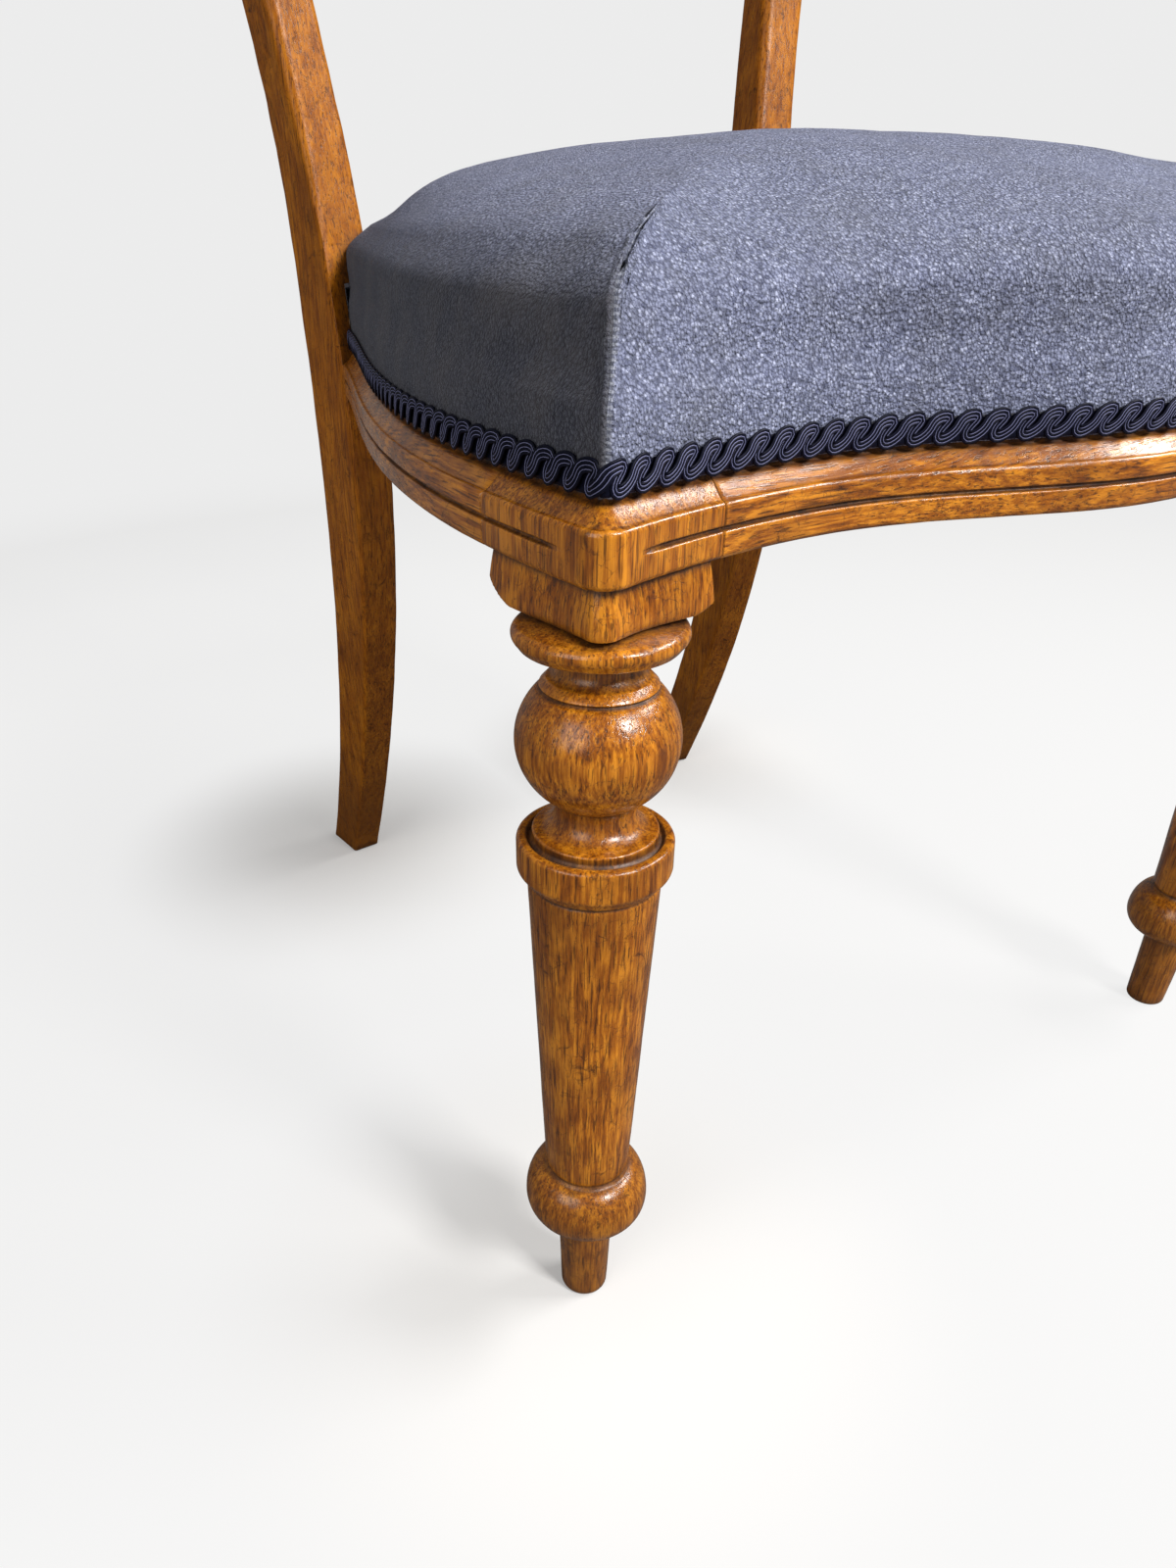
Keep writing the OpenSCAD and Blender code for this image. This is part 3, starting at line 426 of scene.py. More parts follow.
foot_top = 50
ring_z, ring_top = foot_top + 14, 84
drum_base, drum_top = 228, 246
ball_z, ball_h = rail_base - 58, ball_r * 0.94
disc_z, plate_z = rail_base - 20.5, rail_base - plate_h
leg_sides = 144
leg_profile = (
    [(0, 0)] + arc(peg_r - 2.2, 2.2, 2.2, 2.2, -90, 0, 6) + [(peg_r + 1.6, foot_top - 1)]
    + arc(ring_r - 10, ring_z, 10, 12, -62, 0, 12)
    + arc(ring_r * 0.62, ring_z, ring_r * 0.38, 17, 6, 80, 14)
    + [(shaft_low_r - 0.8, ring_top - 1.6), (shaft_low_r, ring_top)]
    + [(shaft_top_r, drum_base - 1.2), (shaft_top_r - 0.6, drum_base), (shaft_top_r + 0.6, drum_base + 0.8)]
    + arc(drum_r - 3.2, drum_base + 6.2, 3.2, 3.2, -60, 0, 7)
    + arc(drum_r - 2, drum_top - 2.6, 2, 2, 0, 90, 6)
    + [(drum_r - 3.4, drum_top - 0.6), (drum_r - 4.6, drum_top - 2.2), (drum_r - 5.8, drum_top - 0.8)]
    + arc(drum_r - 6.6, drum_top + 1.4, 1, 1, -20, 90, 4)
    + arc(neck_r + 6.6, drum_top + 10, 6.6, 7.4, 262, 180, 12)
    + arc(0, ball_z, ball_r, ball_h, -58, 41, 40)
    + [(ball_r * 0.68, ball_z + ball_h * 0.7), (ball_r * 0.71, ball_z + ball_h * 0.735)]
    + arc(neck_r + 4, disc_z - 11.2, 4, 4.4, 258, 180, 10)
    + [(neck_r, disc_z - 7), (disc_r - 5.5, disc_z - 6.7), (disc_r - 2.4, disc_z - 5.2)]
    + arc(disc_r - 3.7, disc_z - 1, 3.7, 3.4, -45, 62, 16)
    + [(21, disc_z + 3.2), (16, disc_z + 4), (16, plate_z + 1), (0, plate_z + 1)])
leg_profile = sliced(eased_corners(leg_profile, 0.5, 2), 2.2)
turn_angles = [math.tau * i / leg_sides for i in range(leg_sides)]
turning_rings = [[(-leg_x + r * math.cos(a), r * math.sin(a), z) for a in turn_angles]
                 for r, z in leg_profile]
turning = ([p for ring in turning_rings for p in ring], skin_faces(len(turning_rings), leg_sides))

moulding = sliced(eased_corners([
    (bottom_bevel, 0), (0, bottom_bevel), (0, low_band), (groove_d, low_band + groove_w / 4),
    (groove_d, low_band + groove_w * 3 / 4), (0, low_band + groove_w),
    (0, arris_z - 1.6), (0.6, arris_z - 0.3), (2, arris_z),
    (mix(2, slope_w, 0.5), mix(arris_z, slope_z, 0.42)), (slope_w, slope_z - 0.5),
    (rebate_d - 0.6, slope_z), (rebate_d, rebate_z), (rebate_d, rail_h - top_bevel),
    (rebate_d + top_bevel * 0.8, rail_h)], 0.7), 1.5)


def inset_at(point, groove):
    """How far in a point of the moulding lies where the groove is cut to only a share of its depth."""
    inset, height = point
    in_groove = low_band - 0.8 < height < low_band + groove_w + 0.8
    return inset * groove if in_groove else inset


corner_x = -(side_line(-18) - corner_r)
corner_slope = math.atan(2 * front_return * (-corner_x - hollow_x) / (leg_x - hollow_x) ** 2)
least_r = 0.5


def corner_at(inset):
    """Radius of the block's corner at an inset from its faces, the arc's centre, and its end at the front."""
    radius = max(corner_r - inset, least_r)
    cx = corner_x + max(0, inset - corner_r + least_r)
    front_end = cx + radius * math.sin(corner_slope)
    cy = front_line(front_end) + inset / math.cos(corner_slope) + radius * math.cos(corner_slope)
    return radius, cx, cy, front_end


def front_face_point(share, inset):
    front_end = corner_at(inset)[3]
    x = mix(-joint_x, front_end, share)
    return x, front_line(x) + inset * mix(1, 1 / math.cos(corner_slope), share)


def corner_point(share, inset):
    radius, cx, cy, _ = corner_at(inset)
    angle = -math.pi / 2 + corner_slope - share * (math.pi / 2 + corner_slope)
    return cx + radius * math.cos(angle), cy + radius * math.sin(angle)


def side_face_point(share, inset):
    y = mix(corner_at(inset)[2], joint_y, share)
    return -side_line(y) + inset, y


# Columns of the block's faces: how to find a point, its share of the face, the groove's share there,
# and how far the column is eased back beside the joint. The groove fades out at both sides of the corner.
joint_chamfer = 0.5
front_steps, corner_steps, side_steps = 46, 24, 36
front_fade_from, side_fade_from, fade_share = 0.62, 0.1, 0.3
block_columns = [(front_face_point, 0, 1, joint_chamfer), (front_face_point, 0.01, 1, 0)]
for i in range(1, front_steps):
    share = i / front_steps
    block_columns.append((front_face_point, share, 1 - swing((share - front_fade_from) / fade_share), 0))
block_columns += [(corner_point, i / corner_steps, 0, 0) for i in range(corner_steps + 1)]
for i in range(1, side_steps):
    share = i / side_steps
    block_columns.append((side_face_point, share, swing((share - side_fade_from) / fade_share), 0))
block_columns += [(side_face_point, 0.99, 1, 0), (side_face_point, 1, 1, joint_chamfer)]
block_rings = [[(*find(share, inset_at(m, groove) + eased), rail_base + m[1])
                for find, share, groove, eased in block_columns] + [(-joint_x, joint_y, rail_base + m[1])]
               for m in moulding]

plate_columns = []
for find, share, _, _ in block_columns:
    if find is front_face_point:
        inset = mix(plate_front_in, plate_in, swing(share * 1.15))
    else:
        inset = mix(plate_in, plate_side_in, swing(share) if find is side_face_point else 0)
    x, y = find(share, inset)
    plate_columns.append((min(x, -joint_x - plate_end_in), min(y, joint_y - plate_back_in)))
plate_columns.append((-joint_x - plate_end_in, joint_y - plate_back_in))
plate_outline = sliced(plate_columns + [plate_columns[0]], 1.4)[:-1]
plate_heights = [0, 0.15, 0.5, 1, 1.7, 2.5, 3.5, 4.6, 5.8, 7, 8.4, 9.8, 11.2, 12.6, 13.7, 14.6, 15.4]
plate_rings = []
for height in plate_heights + [plate_h, plate_h + 1]:
    low = max(0, 1 - height / shoulder_h)
    reach = shoulder_r + shoulder_out * (1 - low ** 1.4)
    ring = []
    for x, y in plate_outline:
        far = math.hypot(x + leg_x, y)
        kept = min(1, reach / far) - plate_edge / far * low ** 6
        kept -= plate_flare / far * min(1, height / plate_h) ** 1.4
        ring.append((-leg_x + (x + leg_x) * kept, y * kept, plate_z + height))
    plate_rings.append(ring)

front_leg = joined(turning, solid_of(block_rings), solid_of(plate_rings))
# A painted shadow darkens the plate just below the block's overhang
overhang_shadow, painted_shadow_strength = 3.2, 1.2
for side in ("left", "right"):
    leg = wood_piece(f"front_leg_{side}_turned", front_leg, leg_oak, [f"front_leg_{side}"],
                     mirror=side == "right")
    for vertex, mark in zip(leg.data.vertices, leg.data.attributes["grime_and_shade"].data):
        below = rail_base - vertex.co.z / MM
        if 0 < below < overhang_shadow:
            mark.value = max(mark.value, (1 - below / overhang_shadow) * painted_shadow_strength)

# Seat rails: oak moulded with a slope, an arris and two bands with a groove between them. The front
# rail is sawn to a serpentine, the side rails are bowed, and each butts against the legs with dowels.
rail_t, glue_gap = 30, 0.15
rail_edge = moulding + [(rail_t, rail_h), (rail_t, 0)]
rail_oak = oak("front rail oak", "x", honey, pith=(0.2, 0.11, 0), gloss=0.15)
side_oak = oak("side rail oak", "y", honey, pith=(0.24, 0.07, 0))
end_x = joint_x - glue_gap
front_rail_steps, side_rail_steps, side_rail_long = 240, 160, 300
front_xs = [mix(-end_x, end_x, i / front_rail_steps) for i in range(1, front_rail_steps)]
front_xs = [-end_x, -end_x + joint_chamfer] + front_xs + [end_x - joint_chamfer, end_x]


def front_ring(x, eased):
    return [(x, front_line(x) + (inset + eased if i < len(moulding) else inset), rail_base + height)
            for i, (inset, height) in enumerate(rail_edge)]


front_rail = solid_of([front_ring(x, joint_chamfer if abs(x) == end_x else 0) for x in front_xs])
wood_piece("front_rail_moulded", front_rail, rail_oak, ["front_seat_rail"])

# The rear legs' and the back's sizes come here, because the side rails are cut to fit them: the curve
# of the back in plan, the angles of kick and lean, and the legs' depth and width from the foot up
back_round, kick, back_lean = 1250, 26, 10.9
foot_d, knee_d, stile_d, foot_w, seat_w, stile_w = 34.7, 43, 24, 20.6, 26.5, 31
rear_foot_y, balloon, crest_joint, spread_above = 423, 36, 740, 8
knee_z, lean_z, spread_z = rail_base - 40, rail_base + 30, rail_top + spread_above
rear_camber = rear_half ** 2 / (2 * back_round)


def back_face(z):
    """Front face of the back in the chair's middle: kicked back below the seat, leaning above it."""
    if z >= lean_z:
        return rear_camber + rear_seat_y + (z - lean_z) * math.tan(math.radians(back_lean))
    t = z / lean_z
    return (rear_camber + rear_foot_y * (2 * t ** 3 - 3 * t ** 2 + 1)
            - math.tan(math.radians(kick)) * lean_z * (t ** 3 - 2 * t ** 2 + t)
            + rear_seat_y * (3 * t ** 2 - 2 * t ** 3)
            + math.tan(math.radians(back_lean)) * lean_z * (t ** 3 - t ** 2))


def back_point(x, t, z):
    """A point of the back, which is curved in plan: t behind its front face."""
    return x * (1 + t / back_round), back_face(z) - x * x / (2 * back_round) + t, z


def leg_front(x, z):
    return back_face(z) - x * x / (2 * back_round)


side_rings = []
for i in range(side_rail_steps + 1):
    share = joint_chamfer / side_rail_long if i == 1 else i / side_rail_steps
    ring = []
    for k, (inset, height) in enumerate(rail_edge):
        z = rail_base + height
        far = leg_front(side_line(rear_seat_y) - inset, z) - glue_gap
        y = mix(joint_y + glue_gap, far, share)
        eased = joint_chamfer if i in (0, side_rail_steps) and k < len(moulding) else 0
        ring.append((-(side_line(y) - inset - eased), y, z))
    side_rings.append(ring)
for side in ("left", "right"):
    wood_piece(f"side_rail_{side}_moulded", solid_of(side_rings), side_oak,
               [f"side_seat_rail_{side}"], mirror=side == "right")

# Rear legs and back: plain square-sectioned oak, darker than the front, sawn to a sabre curve below
# the seat and running on as the stiles, with a balloon crest doweled on top and a waisted cross rail.
dark = (0.50, 0.172, 0.005), (0.355, 0.106, 0.002), (0.17, 0.042, 0.001)
back_oak = oak("rear leg oak", "z", dark, pith=(0.18, 0.12, 0), gloss=0.24, polish=0.3)
crest_oak = oak("crest oak", "x", dark, pith=(0.14, 0.2, 0), gloss=0.22, polish=0.45)


def leg_out(z):
    """Distance of the stile's outer face from the chair's middle."""
    return rear_half + balloon * swing((z - spread_z) / (crest_joint - spread_z))


def leg_wide(z):
    if z < rail_top:
        return mix(foot_w, seat_w, z / rail_top)
    return mix(seat_w, stile_w, swing((z - rail_top) / (crest_joint - rail_top)))


def leg_deep(z):
    if z < knee_z:
        return mix(foot_d, knee_d, swing(z / knee_z))
    return mix(knee_d, stile_d, swing((z - knee_z) / knee_z))


def leg_edge(z):
    return mix(2, 6, swing((z - rail_top) / 120))


def back_section(width, depth, front_r, inset=0):
    """Rounded section of a member of the back, from its outer front corner round."""
    back_r, longest = 2, 2.6
    points = []
    for cx, cy, r, start in ((front_r, front_r, front_r, 180), (width - front_r, front_r, front_r, 270),
                             (width - back_r, depth - back_r, back_r, 0),
                             (back_r, depth - back_r, back_r, 90)):
        points += arc(cx, cy, r - inset, r - inset, start, start + 90, 6)
    return sliced(points + points[:1], longest)[:-1]


def even_section(width, depth, front_r, inset=0):
    """The same section with as many points whatever its width, so that rings can be joined."""
    section_points = 56
    outline = [Vector(p) for p in back_section(width, depth, front_r, inset)]
    outline.append(outline[0])
    run = np.concatenate([[0], np.cumsum([(b - a).length for a, b in zip(outline, outline[1:])])])
    places = np.linspace(0, run[-1], section_points + 1)[:-1]
    return list(zip(np.interp(places, run, [p.x for p in outline]),
                    np.interp(places, run, [p.y for p in outline])))


leg_steps, foot_ease = 185, 1.2
leg_heights = [0, 0.5, foot_ease, 2] + [i * crest_joint / leg_steps for i in range(1, leg_steps + 1)]
leg_rings = []
for z in leg_heights:
    eased = max(0, foot_ease - z)
    leg_rings.append([back_point(-(leg_out(z) - across), deep, z)
                      for across, deep in even_section(leg_wide(z), leg_deep(z), leg_edge(z), eased)])
for side in ("left", "right"):
    wood_piece(f"rear_leg_{side}_shaped", solid_of(leg_rings), back_oak, [f"rear_leg_{side}"],
               mirror=side == "right", uneven=0.25)

crest_rise, crest_mid = 146, 58
crest_half = leg_out(crest_joint)
crest_in_x, crest_in_rise = crest_half - stile_w, crest_rise - crest_mid
crest_steps = 180
crest_rings = []
for i in range(crest_steps + 1):
    a = math.pi * (1 - i / crest_steps)
    width = math.hypot(stile_w * math.cos(a), crest_mid * math.sin(a))
    ring = []
    for across, deep in even_section(width, stile_d, leg_edge(crest_joint)):
        share = across / width
        x, y, z = back_point(mix(crest_half, crest_in_x, share) * math.cos(a), deep,
                             crest_joint + mix(crest_rise, crest_in_rise, share) * math.sin(a))
        ring.append((x, y, z + glue_gap))
    crest_rings.append(ring)
wood_piece("crest_rail_shaped", solid_of(crest_rings), crest_oak, ["crest_rail"], uneven=0.25)

cross_z, cross_mid, cross_end, cross_t, cross_dip, cross_drop = 574, 56, 30, 17, 10, 4
cross_set = (stile_d - cross_t) / 2 + 1
cross_steps = 120
cross_rings = []
for i in range(cross_steps + 1):
    share = 1 - 2 * i / cross_steps
    x0 = share * (leg_out(cross_z) - leg_wide(cross_z))
    near = min(abs(x0) / crest_in_x, 1)
    height = mix(cross_mid, cross_end, swing(near * 1.5))
    middle = cross_z + cross_dip * swing(1 - near) - cross_drop
    ring = []
    for down, deep in even_section(height, cross_t, 4):
        z = middle + height / 2 - down
        ring.append(back_point(share * (leg_out(z) - leg_wide(z) - glue_gap), cross_set + deep, z))
    cross_rings.append(ring)
wood_piece("cross_rail_shaped", solid_of(cross_rings), crest_oak, ["back_cross_rail"], uneven=0.2)

# Frame under the seat: a beech rear rail between the rear legs, and beech dowels and corner braces,
# the braces held by steel screws. The rail is made again here, and the others get their finish.
rear_rail_t, rear_rail_set = 26, 6
beech_tones = (0.52, 0.33, 0.155), (0.42, 0.25, 0.11), (0.25, 0.13, 0.05)
beech_x = oak("beech along x", "x", beech_tones, pith=(0.3, 0.1, 0), gloss=0.5, polish=0)


def rear_line(x):
    """Front face of the rear seat rail in plan."""
    return back_face(lean_z) + rear_rail_set - x * x / (2 * back_round)


def leg_inner(y, z):
    """Where the inner face of the rear leg stands at depth y and height z."""
    x = leg_out(z) - leg_wide(z)
    return x * (1 + (y - leg_front(x, z)) / back_round)


rear_bevel, rear_rail_steps = 1.5, 60
rear_section = [(0, 0), (0, rail_h), (rear_rail_t, rail_h), (rear_rail_t, rear_bevel),
                (rear_rail_t - rear_bevel, 0), (0, 0)]
rear_section = sliced(eased_corners(rear_section, 0.8), 6)[:-1]
rear_rings = []
for i in range(rear_rail_steps + 1):
    share = 2 * i / rear_rail_steps - 1
    ring = []
    for deep, height in rear_section:
        x = share * (leg_inner(rear_line(rear_half - seat_w) + deep, rail_base + height) - glue_gap)
        ring.append((x, rear_line(x) + deep, rail_base + height))
    rear_rings.append(ring)
wood_piece("rear_rail_shaped", solid_of(rear_rings), beech_x, ["rear_seat_rail"])

for name in ("seat_rail_dowels", "crest_rail_dowels", "cross_rail_dowels", "corner_brace_front_left",
             "corner_brace_front_right", "corner_brace_rear_left", "corner_brace_rear_right"):
    nodes[name].data.materials.clear()
    nodes[name].data.materials.append(beech_x)
steel, tree, surface, place = new_finish("dull screw steel")
rust = ramp(tree, speckle(tree, place, 900, detail=4), (0.45, (0.36, 0.35, 0.34)), (0.62, (0.16, 0.09, 0.05)))
set_surface(tree, surface, Base_Color=rust, Metallic=1, Roughness=0.42)
nodes["corner_brace_screws"].data.materials.clear()
nodes["corner_brace_screws"].data.materials.append(steel)

# Seat foundation: two sets of jute webbing woven through each other, a hessian sheet over them,
# fibre stuffing and a cotton wadding. All of it is covered and shows only from below.


def woven(name, colour, thread):
    """Plain weave of coarse threads along X and Y."""
    material, tree, surface, place = new_finish(name)
    turns = math.pi / (thread * MM)
    axes = put(tree, "SeparateXYZ", Vector=place)
    warp = reckoned(tree, times(tree, axes.outputs[0], turns), 0, "SINE")
    weft = reckoned(tree, times(tree, axes.outputs[1], turns), 0, "SINE")
    weave = reckoned(tree, times(tree, times(tree, warp, weft), 0.5), 0.5)
    slub = speckle(tree, place, 420, detail=4, rough=0.7)
    shade = blend_of(tree, (weave, 0.55), (slub, 0.6))
    body = ramp(tree, shade, (0.25, shaded(colour, 0.35)), (0.8, colour))
    bump = put(tree, "Bump", Height=shade, Strength=0.8, Distance=0.0008).outputs[0]
    set_surface(tree, surface, Base_Color=body, Roughness=0.95, Normal=bump)
    return material


for name, colour, thread in (("webbing_front_to_back", (0.36, 0.25, 0.13), 1.4),
                             ("webbing_side_to_side", (0.36, 0.25, 0.13), 1.4),
                             ("hessian_base", (0.42, 0.31, 0.17), 1.1),
                             ("seat_stuffing", (0.20, 0.14, 0.08), 2.4),
                             ("seat_wadding", (0.72, 0.70, 0.64), 3.0)):
    nodes[name].data.materials.clear()
    nodes[name].data.materials.append(woven(name + " cloth", colour, thread))

# Seat cover: blue-grey chenille drawn over the wadding and tacked into the rebate under the gimp.
# Each front corner is a mitred seam, and the cover runs over the rails' top beside the rear legs.
layer_gap, cover_t, soft_gap, hem_turn, soft_r = 0.3, 1.6, 0.5, 2, 0.8
hem_z = rail_base + rebate_z + layer_gap
cover_in = rebate_d - layer_gap - cover_t
# Heights of the crown and the shoulder above the rails, and how the outline turns into the crown's oval
crown, seat_shoulder, crown_side_in, crown_front_in, crown_turn = 58, 24, 6, 12, 2.2


def soft_rear(x, inset):
    return rear_line(x) + rear_rail_t + rebate_d - inset


soft_front_y = front_line(leg_x)
soft_mid_y = (soft_rear(0, rebate_d) + soft_front_y) / 2
crown_half_x, crown_half_y = leg_x - crown_side_in, soft_mid_y - soft_front_y - crown_front_in


def half_outline(inset, z, pull, step, counts):
    """Plan of the left half from the front middle round: x, y and whether it lies beside the rear leg."""
    n_front, n_corner, n_side, n_leg, n_rear = counts
    radius = max(corner_r - inset, soft_r)
    cx = corner_x + max(0, inset - corner_r + soft_r) + pull
    front_end = cx + radius * math.sin(corner_slope)
    cy = front_line(front_end) + inset + pull + radius * math.cos(corner_slope)
    y_end = leg_front(rear_half, z) - soft_gap - step
    x_in = leg_inner(y_end, z) - soft_gap - step
    points = []
    for i in range(n_front):
        share = math.sin(math.pi / 2 * i / n_front)
        points.append((front_end * share, front_line(front_end * share) + inset + pull * share ** 3, False))
    for i in range(n_corner):
        angle = mix(corner_slope - math.pi / 2, -math.pi, i / (n_corner - 1))
        points.append((cx + radius * math.cos(angle), cy + radius * math.sin(angle), False))
    for i in range(1, n_side + 1):
        share = 1 - math.cos(math.pi / 2 * i / n_side)
        y = mix(cy, y_end - hem_turn, share)
        points.append((-(side_line(y) - inset - pull * (1 - share) ** 3), y, False))
    turn = [(-(side_line(y_end) - inset), y_end), (-x_in, y_end), (-x_in, soft_rear(x_in, inset))]
    for a, b in zip(turn, turn[1:]):
        points += [(mix(a[0], b[0], i / n_leg), mix(a[1], b[1], i / n_leg), True) for i in range(n_leg)]
    points.append((*turn[-1], True))
    for i in range(n_rear):
        x = -(x_in - hem_turn) * (1 - i / n_rear)
        points.append((x, soft_rear(x, inset), False))
    points.append((0, soft_rear(0, inset), False))
    return points


def soft_ring(row, step, counts):
    """One ring of a layer of the seat: its outline turns into an oval towards the crown."""
    inset, share, z, side_lean, top_lean, pull = row
    inset, z = inset + step * side_lean, z - step * top_lean
    half = half_outline(inset, z, pull, step, counts)
    blend = swing((1 - share) * crown_turn)
    ring = []
    for x, y, beside in half + [(-x, y, beside) for x, y, beside in half[-2:0:-1]]:
        offset = Vector((x, y - soft_mid_y))
        c, s = abs(offset.x) / offset.length, abs(offset.y) / offset.length
        oval = ((c / crown_half_x) ** 4 + (s / crown_half_y) ** 4) ** -0.25
        offset = offset.lerp(offset.normalized() * oval, blend) * share
        lift = max(z, rail_top + layer_gap + (z - hem_z) / 15) if beside else z
        ring.append((offset.x, offset.y + soft_mid_y, lift))
    return ring


# Rows of the seat from the hem up: inset, share of the full outline, height, how far a layer below
# steps in and down, and how far the corners are drawn in
wall_rows = [(cover_in, 1, hem_z, 1, 0, 0), (cover_in, 1, rail_top - 9, 1, 0, 0),
             (cover_in + 1.2, 1, rail_top - 3, 1, 0, 1), (cover_in + 2.4, 1, rail_top + 3.2, 1, 0, 3),
             (cover_in + 2.8, 1, rail_top + 12, 1, 0, 6), (cover_in + 5, 1, rail_top + 20, 0.8, 0.5, 8)]
dome_steps, dome_fall, dome_first, dome_span = 34, 2.4, 0.94, 0.92


def dome_z(share):
    """Height of the seat where its outline has drawn in to that share."""
    return rail_top + seat_shoulder + (crown - seat_shoulder) * (1 - share ** dome_fall)


dome_shares = [dome_first - dome_span * (i / dome_steps) ** 0.9 for i in range(dome_steps + 1)]
dome_rows = [(cover_in + 6, share, dome_z(share), 0.2, 1, 8 * share) for share in dome_shares]


def between_rows(rows, steps):
    """Rows of a smooth curve through the given ones."""
    rows = [np.array(r) for r in rows]
    fine = []
    for i in range(len(rows) - 1):
        a, b, c, d = rows[max(i - 1, 0)], rows[i], rows[i + 1], rows[min(i + 2, len(rows) - 1)]
        fine += [b + 0.5 * t * (c - a + t * (2 * a - 5 * b + 4 * c - d + t * (3 * (b - c) + d - a)))
                 for t in [k / steps for k in range(steps)]]
    return [tuple(r) for r in fine] + [tuple(rows[-1])]


cover_rows = between_rows(wall_rows + dome_rows[:1], 5) + dome_rows[1:]
cover_counts = (74, 15, 66, 7, 30)
rings = [soft_ring(row, 0, cover_counts) for row in cover_rows]
around = len(rings[0])
cover_points = placed([p for ring in rings for p in ring] + [(0, soft_mid_y, rail_top + crown)])
last = (len(rings) - 1) * around
cover_faces = [face[::-1] for face in skin_faces(len(rings), around) + [
    (last + i, last + (i + 1) % around, last + around) for i in range(around)]]
spots = np.array(cover_points)
mesh = bpy.data.meshes.new("seat_cover_cloth")
mesh.from_pydata(cover_points, [], cover_faces)
facing = np.array([tuple(v.normal) for v in mesh.vertices])

# The stuffed seat is inflated as cloth over a slightly smaller form and pinned below the rails' top,
# then the cover is laid on what comes out. Lengths here are in millimetres too.
pad_in, pad_counts, voxel, held_below, most = 3.5, (24, 5, 20, 3, 10), 5.5, 4, 8
loose_from, loose_over, tight_percent, most_swell, passes = 6, 16, 4, 6, 14
small_rows = wall_rows[2:] + dome_rows[::4]
inner = solid_of([soft_ring(row, pad_in, pad_counts) for row in small_rows])
pad_mesh = bpy.data.meshes.new("pad")
pad_mesh.from_pydata(placed(inner[0]), [], inner[1])
pad = bpy.data.objects.new("pad", pad_mesh)
bpy.context.scene.collection.objects.link(pad)
remesh = pad.modifiers.new("voxels", "REMESH")
remesh.mode, remesh.voxel_size = "VOXEL", voxel * MM
pad_mesh = bpy.data.meshes.new_from_object(pad.evaluated_get(bpy.context.evaluated_depsgraph_get()))
pad.modifiers.clear()
pad.data = pad_mesh
start = np.array([v.co for v in pad_mesh.vertices])
held = pad.vertex_groups.new(name="held")
held.add([i for i, p in enumerate(start) if p[2] < (rail_top + held_below) * MM], 1, "REPLACE")
cloth = pad.modifiers.new("cloth", "CLOTH")
cloth.settings.quality = 5
cloth.settings.mass = 0.3
cloth.settings.use_pressure = True
cloth.settings.uniform_pressure_force = 4
cloth.settings.vertex_group_mass = "held"
cloth.settings.effector_weights.gravity = 0
for number in range(1, 21):
    bpy.context.scene.frame_set(number)
puffed = pad.evaluated_get(bpy.context.evaluated_depsgraph_get()).to_mesh()
end = np.array([v.co for v in puffed.vertices])
faces = [tuple(f.vertices) for f in puffed.polygons]
bpy.context.scene.frame_set(1)
move = end - start
reach = np.linalg.norm(move, axis=1, keepdims=True)
end = start + move * np.minimum(1, most * MM / np.maximum(reach, 1e-9))
blown = BVHTree.FromPolygons([tuple(p) for p in end], faces)
bpy.data.objects.remove(pad)
loose = np.clip((spots[:, 2] / MM - rail_top - loose_from) / loose_over, 0, 1)[:, None]
landed = np.array([tuple(blown.find_nearest(Vector(p))[0]) if w > 0 else tuple(p)
                   for p, w in zip(spots, loose[:, 0])])
swell = ((landed - spots) * facing).sum(1)
tightest = np.percentile(swell[loose[:, 0] > 0.9], tight_percent)
swell = np.clip(swell - tightest, 0, most_swell * MM) * loose[:, 0]
grid = swell[:-1].reshape(len(rings), around)
for _ in range(passes):
    grid[1:-1] = (grid[1:-1] * 2 + np.roll(grid, 1, 1)[1:-1] + np.roll(grid, -1, 1)[1:-1]
                  + grid[2:] + grid[:-2]) / 6
swell[-1] = grid[-1].mean()
spots = spots + facing * swell[:, None]

# Each point's distance from the nearer corner seam, in millimetres. It grows past the seam's last row.
seam_column = cover_counts[0] + cover_counts[1] // 2
seam_last, seam_far, seam_end_rows, seam_end_step = 31, 50.0, 20, 0.7
grid = spots[:-1].reshape(len(rings), around, 3)
seam = np.full(len(spots), seam_far)
seam_grid = seam[:-1].reshape(len(rings), around)
for middle in (seam_column, around - seam_column):
    run = np.linalg.norm(grid - grid[:, [middle]], axis=2) / MM
    beyond = np.clip(np.arange(len(rings)) - seam_last, 0, seam_end_rows)[:, None] * seam_end_step
    seam_grid[:] = np.minimum(seam_grid, run + beyond)
# The stuffing is a little lumpy, and a seam is a valley between two ridges
broad_lump, broad_scale, close_lump, close_scale, lump_over = 0.7, 22, 0.25, 75, 12
ridge_h, ridge_off, ridge_w, valley_h, valley_w, deepest = 0.9, 1.3, 0.8, 0.7, 0.5, -0.5
lump = np.array([broad_lump * noise.noise(Vector(p) * broad_scale)
                 + close_lump * noise.noise(Vector(p) * close_scale) for p in spots])
lump *= np.clip((spots[:, 2] / MM - rail_top) / lump_over, 0, 1)
ridge = ridge_h * np.exp(-((seam - ridge_off) / ridge_w) ** 2) - valley_h * np.exp(-(seam / valley_w) ** 2)
spots = spots + facing * (np.maximum(lump + ridge, deepest) * MM)[:, None]
mesh.vertices.foreach_set("co", spots.ravel())
mesh.shade_smooth()
mesh.attributes.new("seam", "FLOAT", "POINT").data.foreach_set("value", seam)
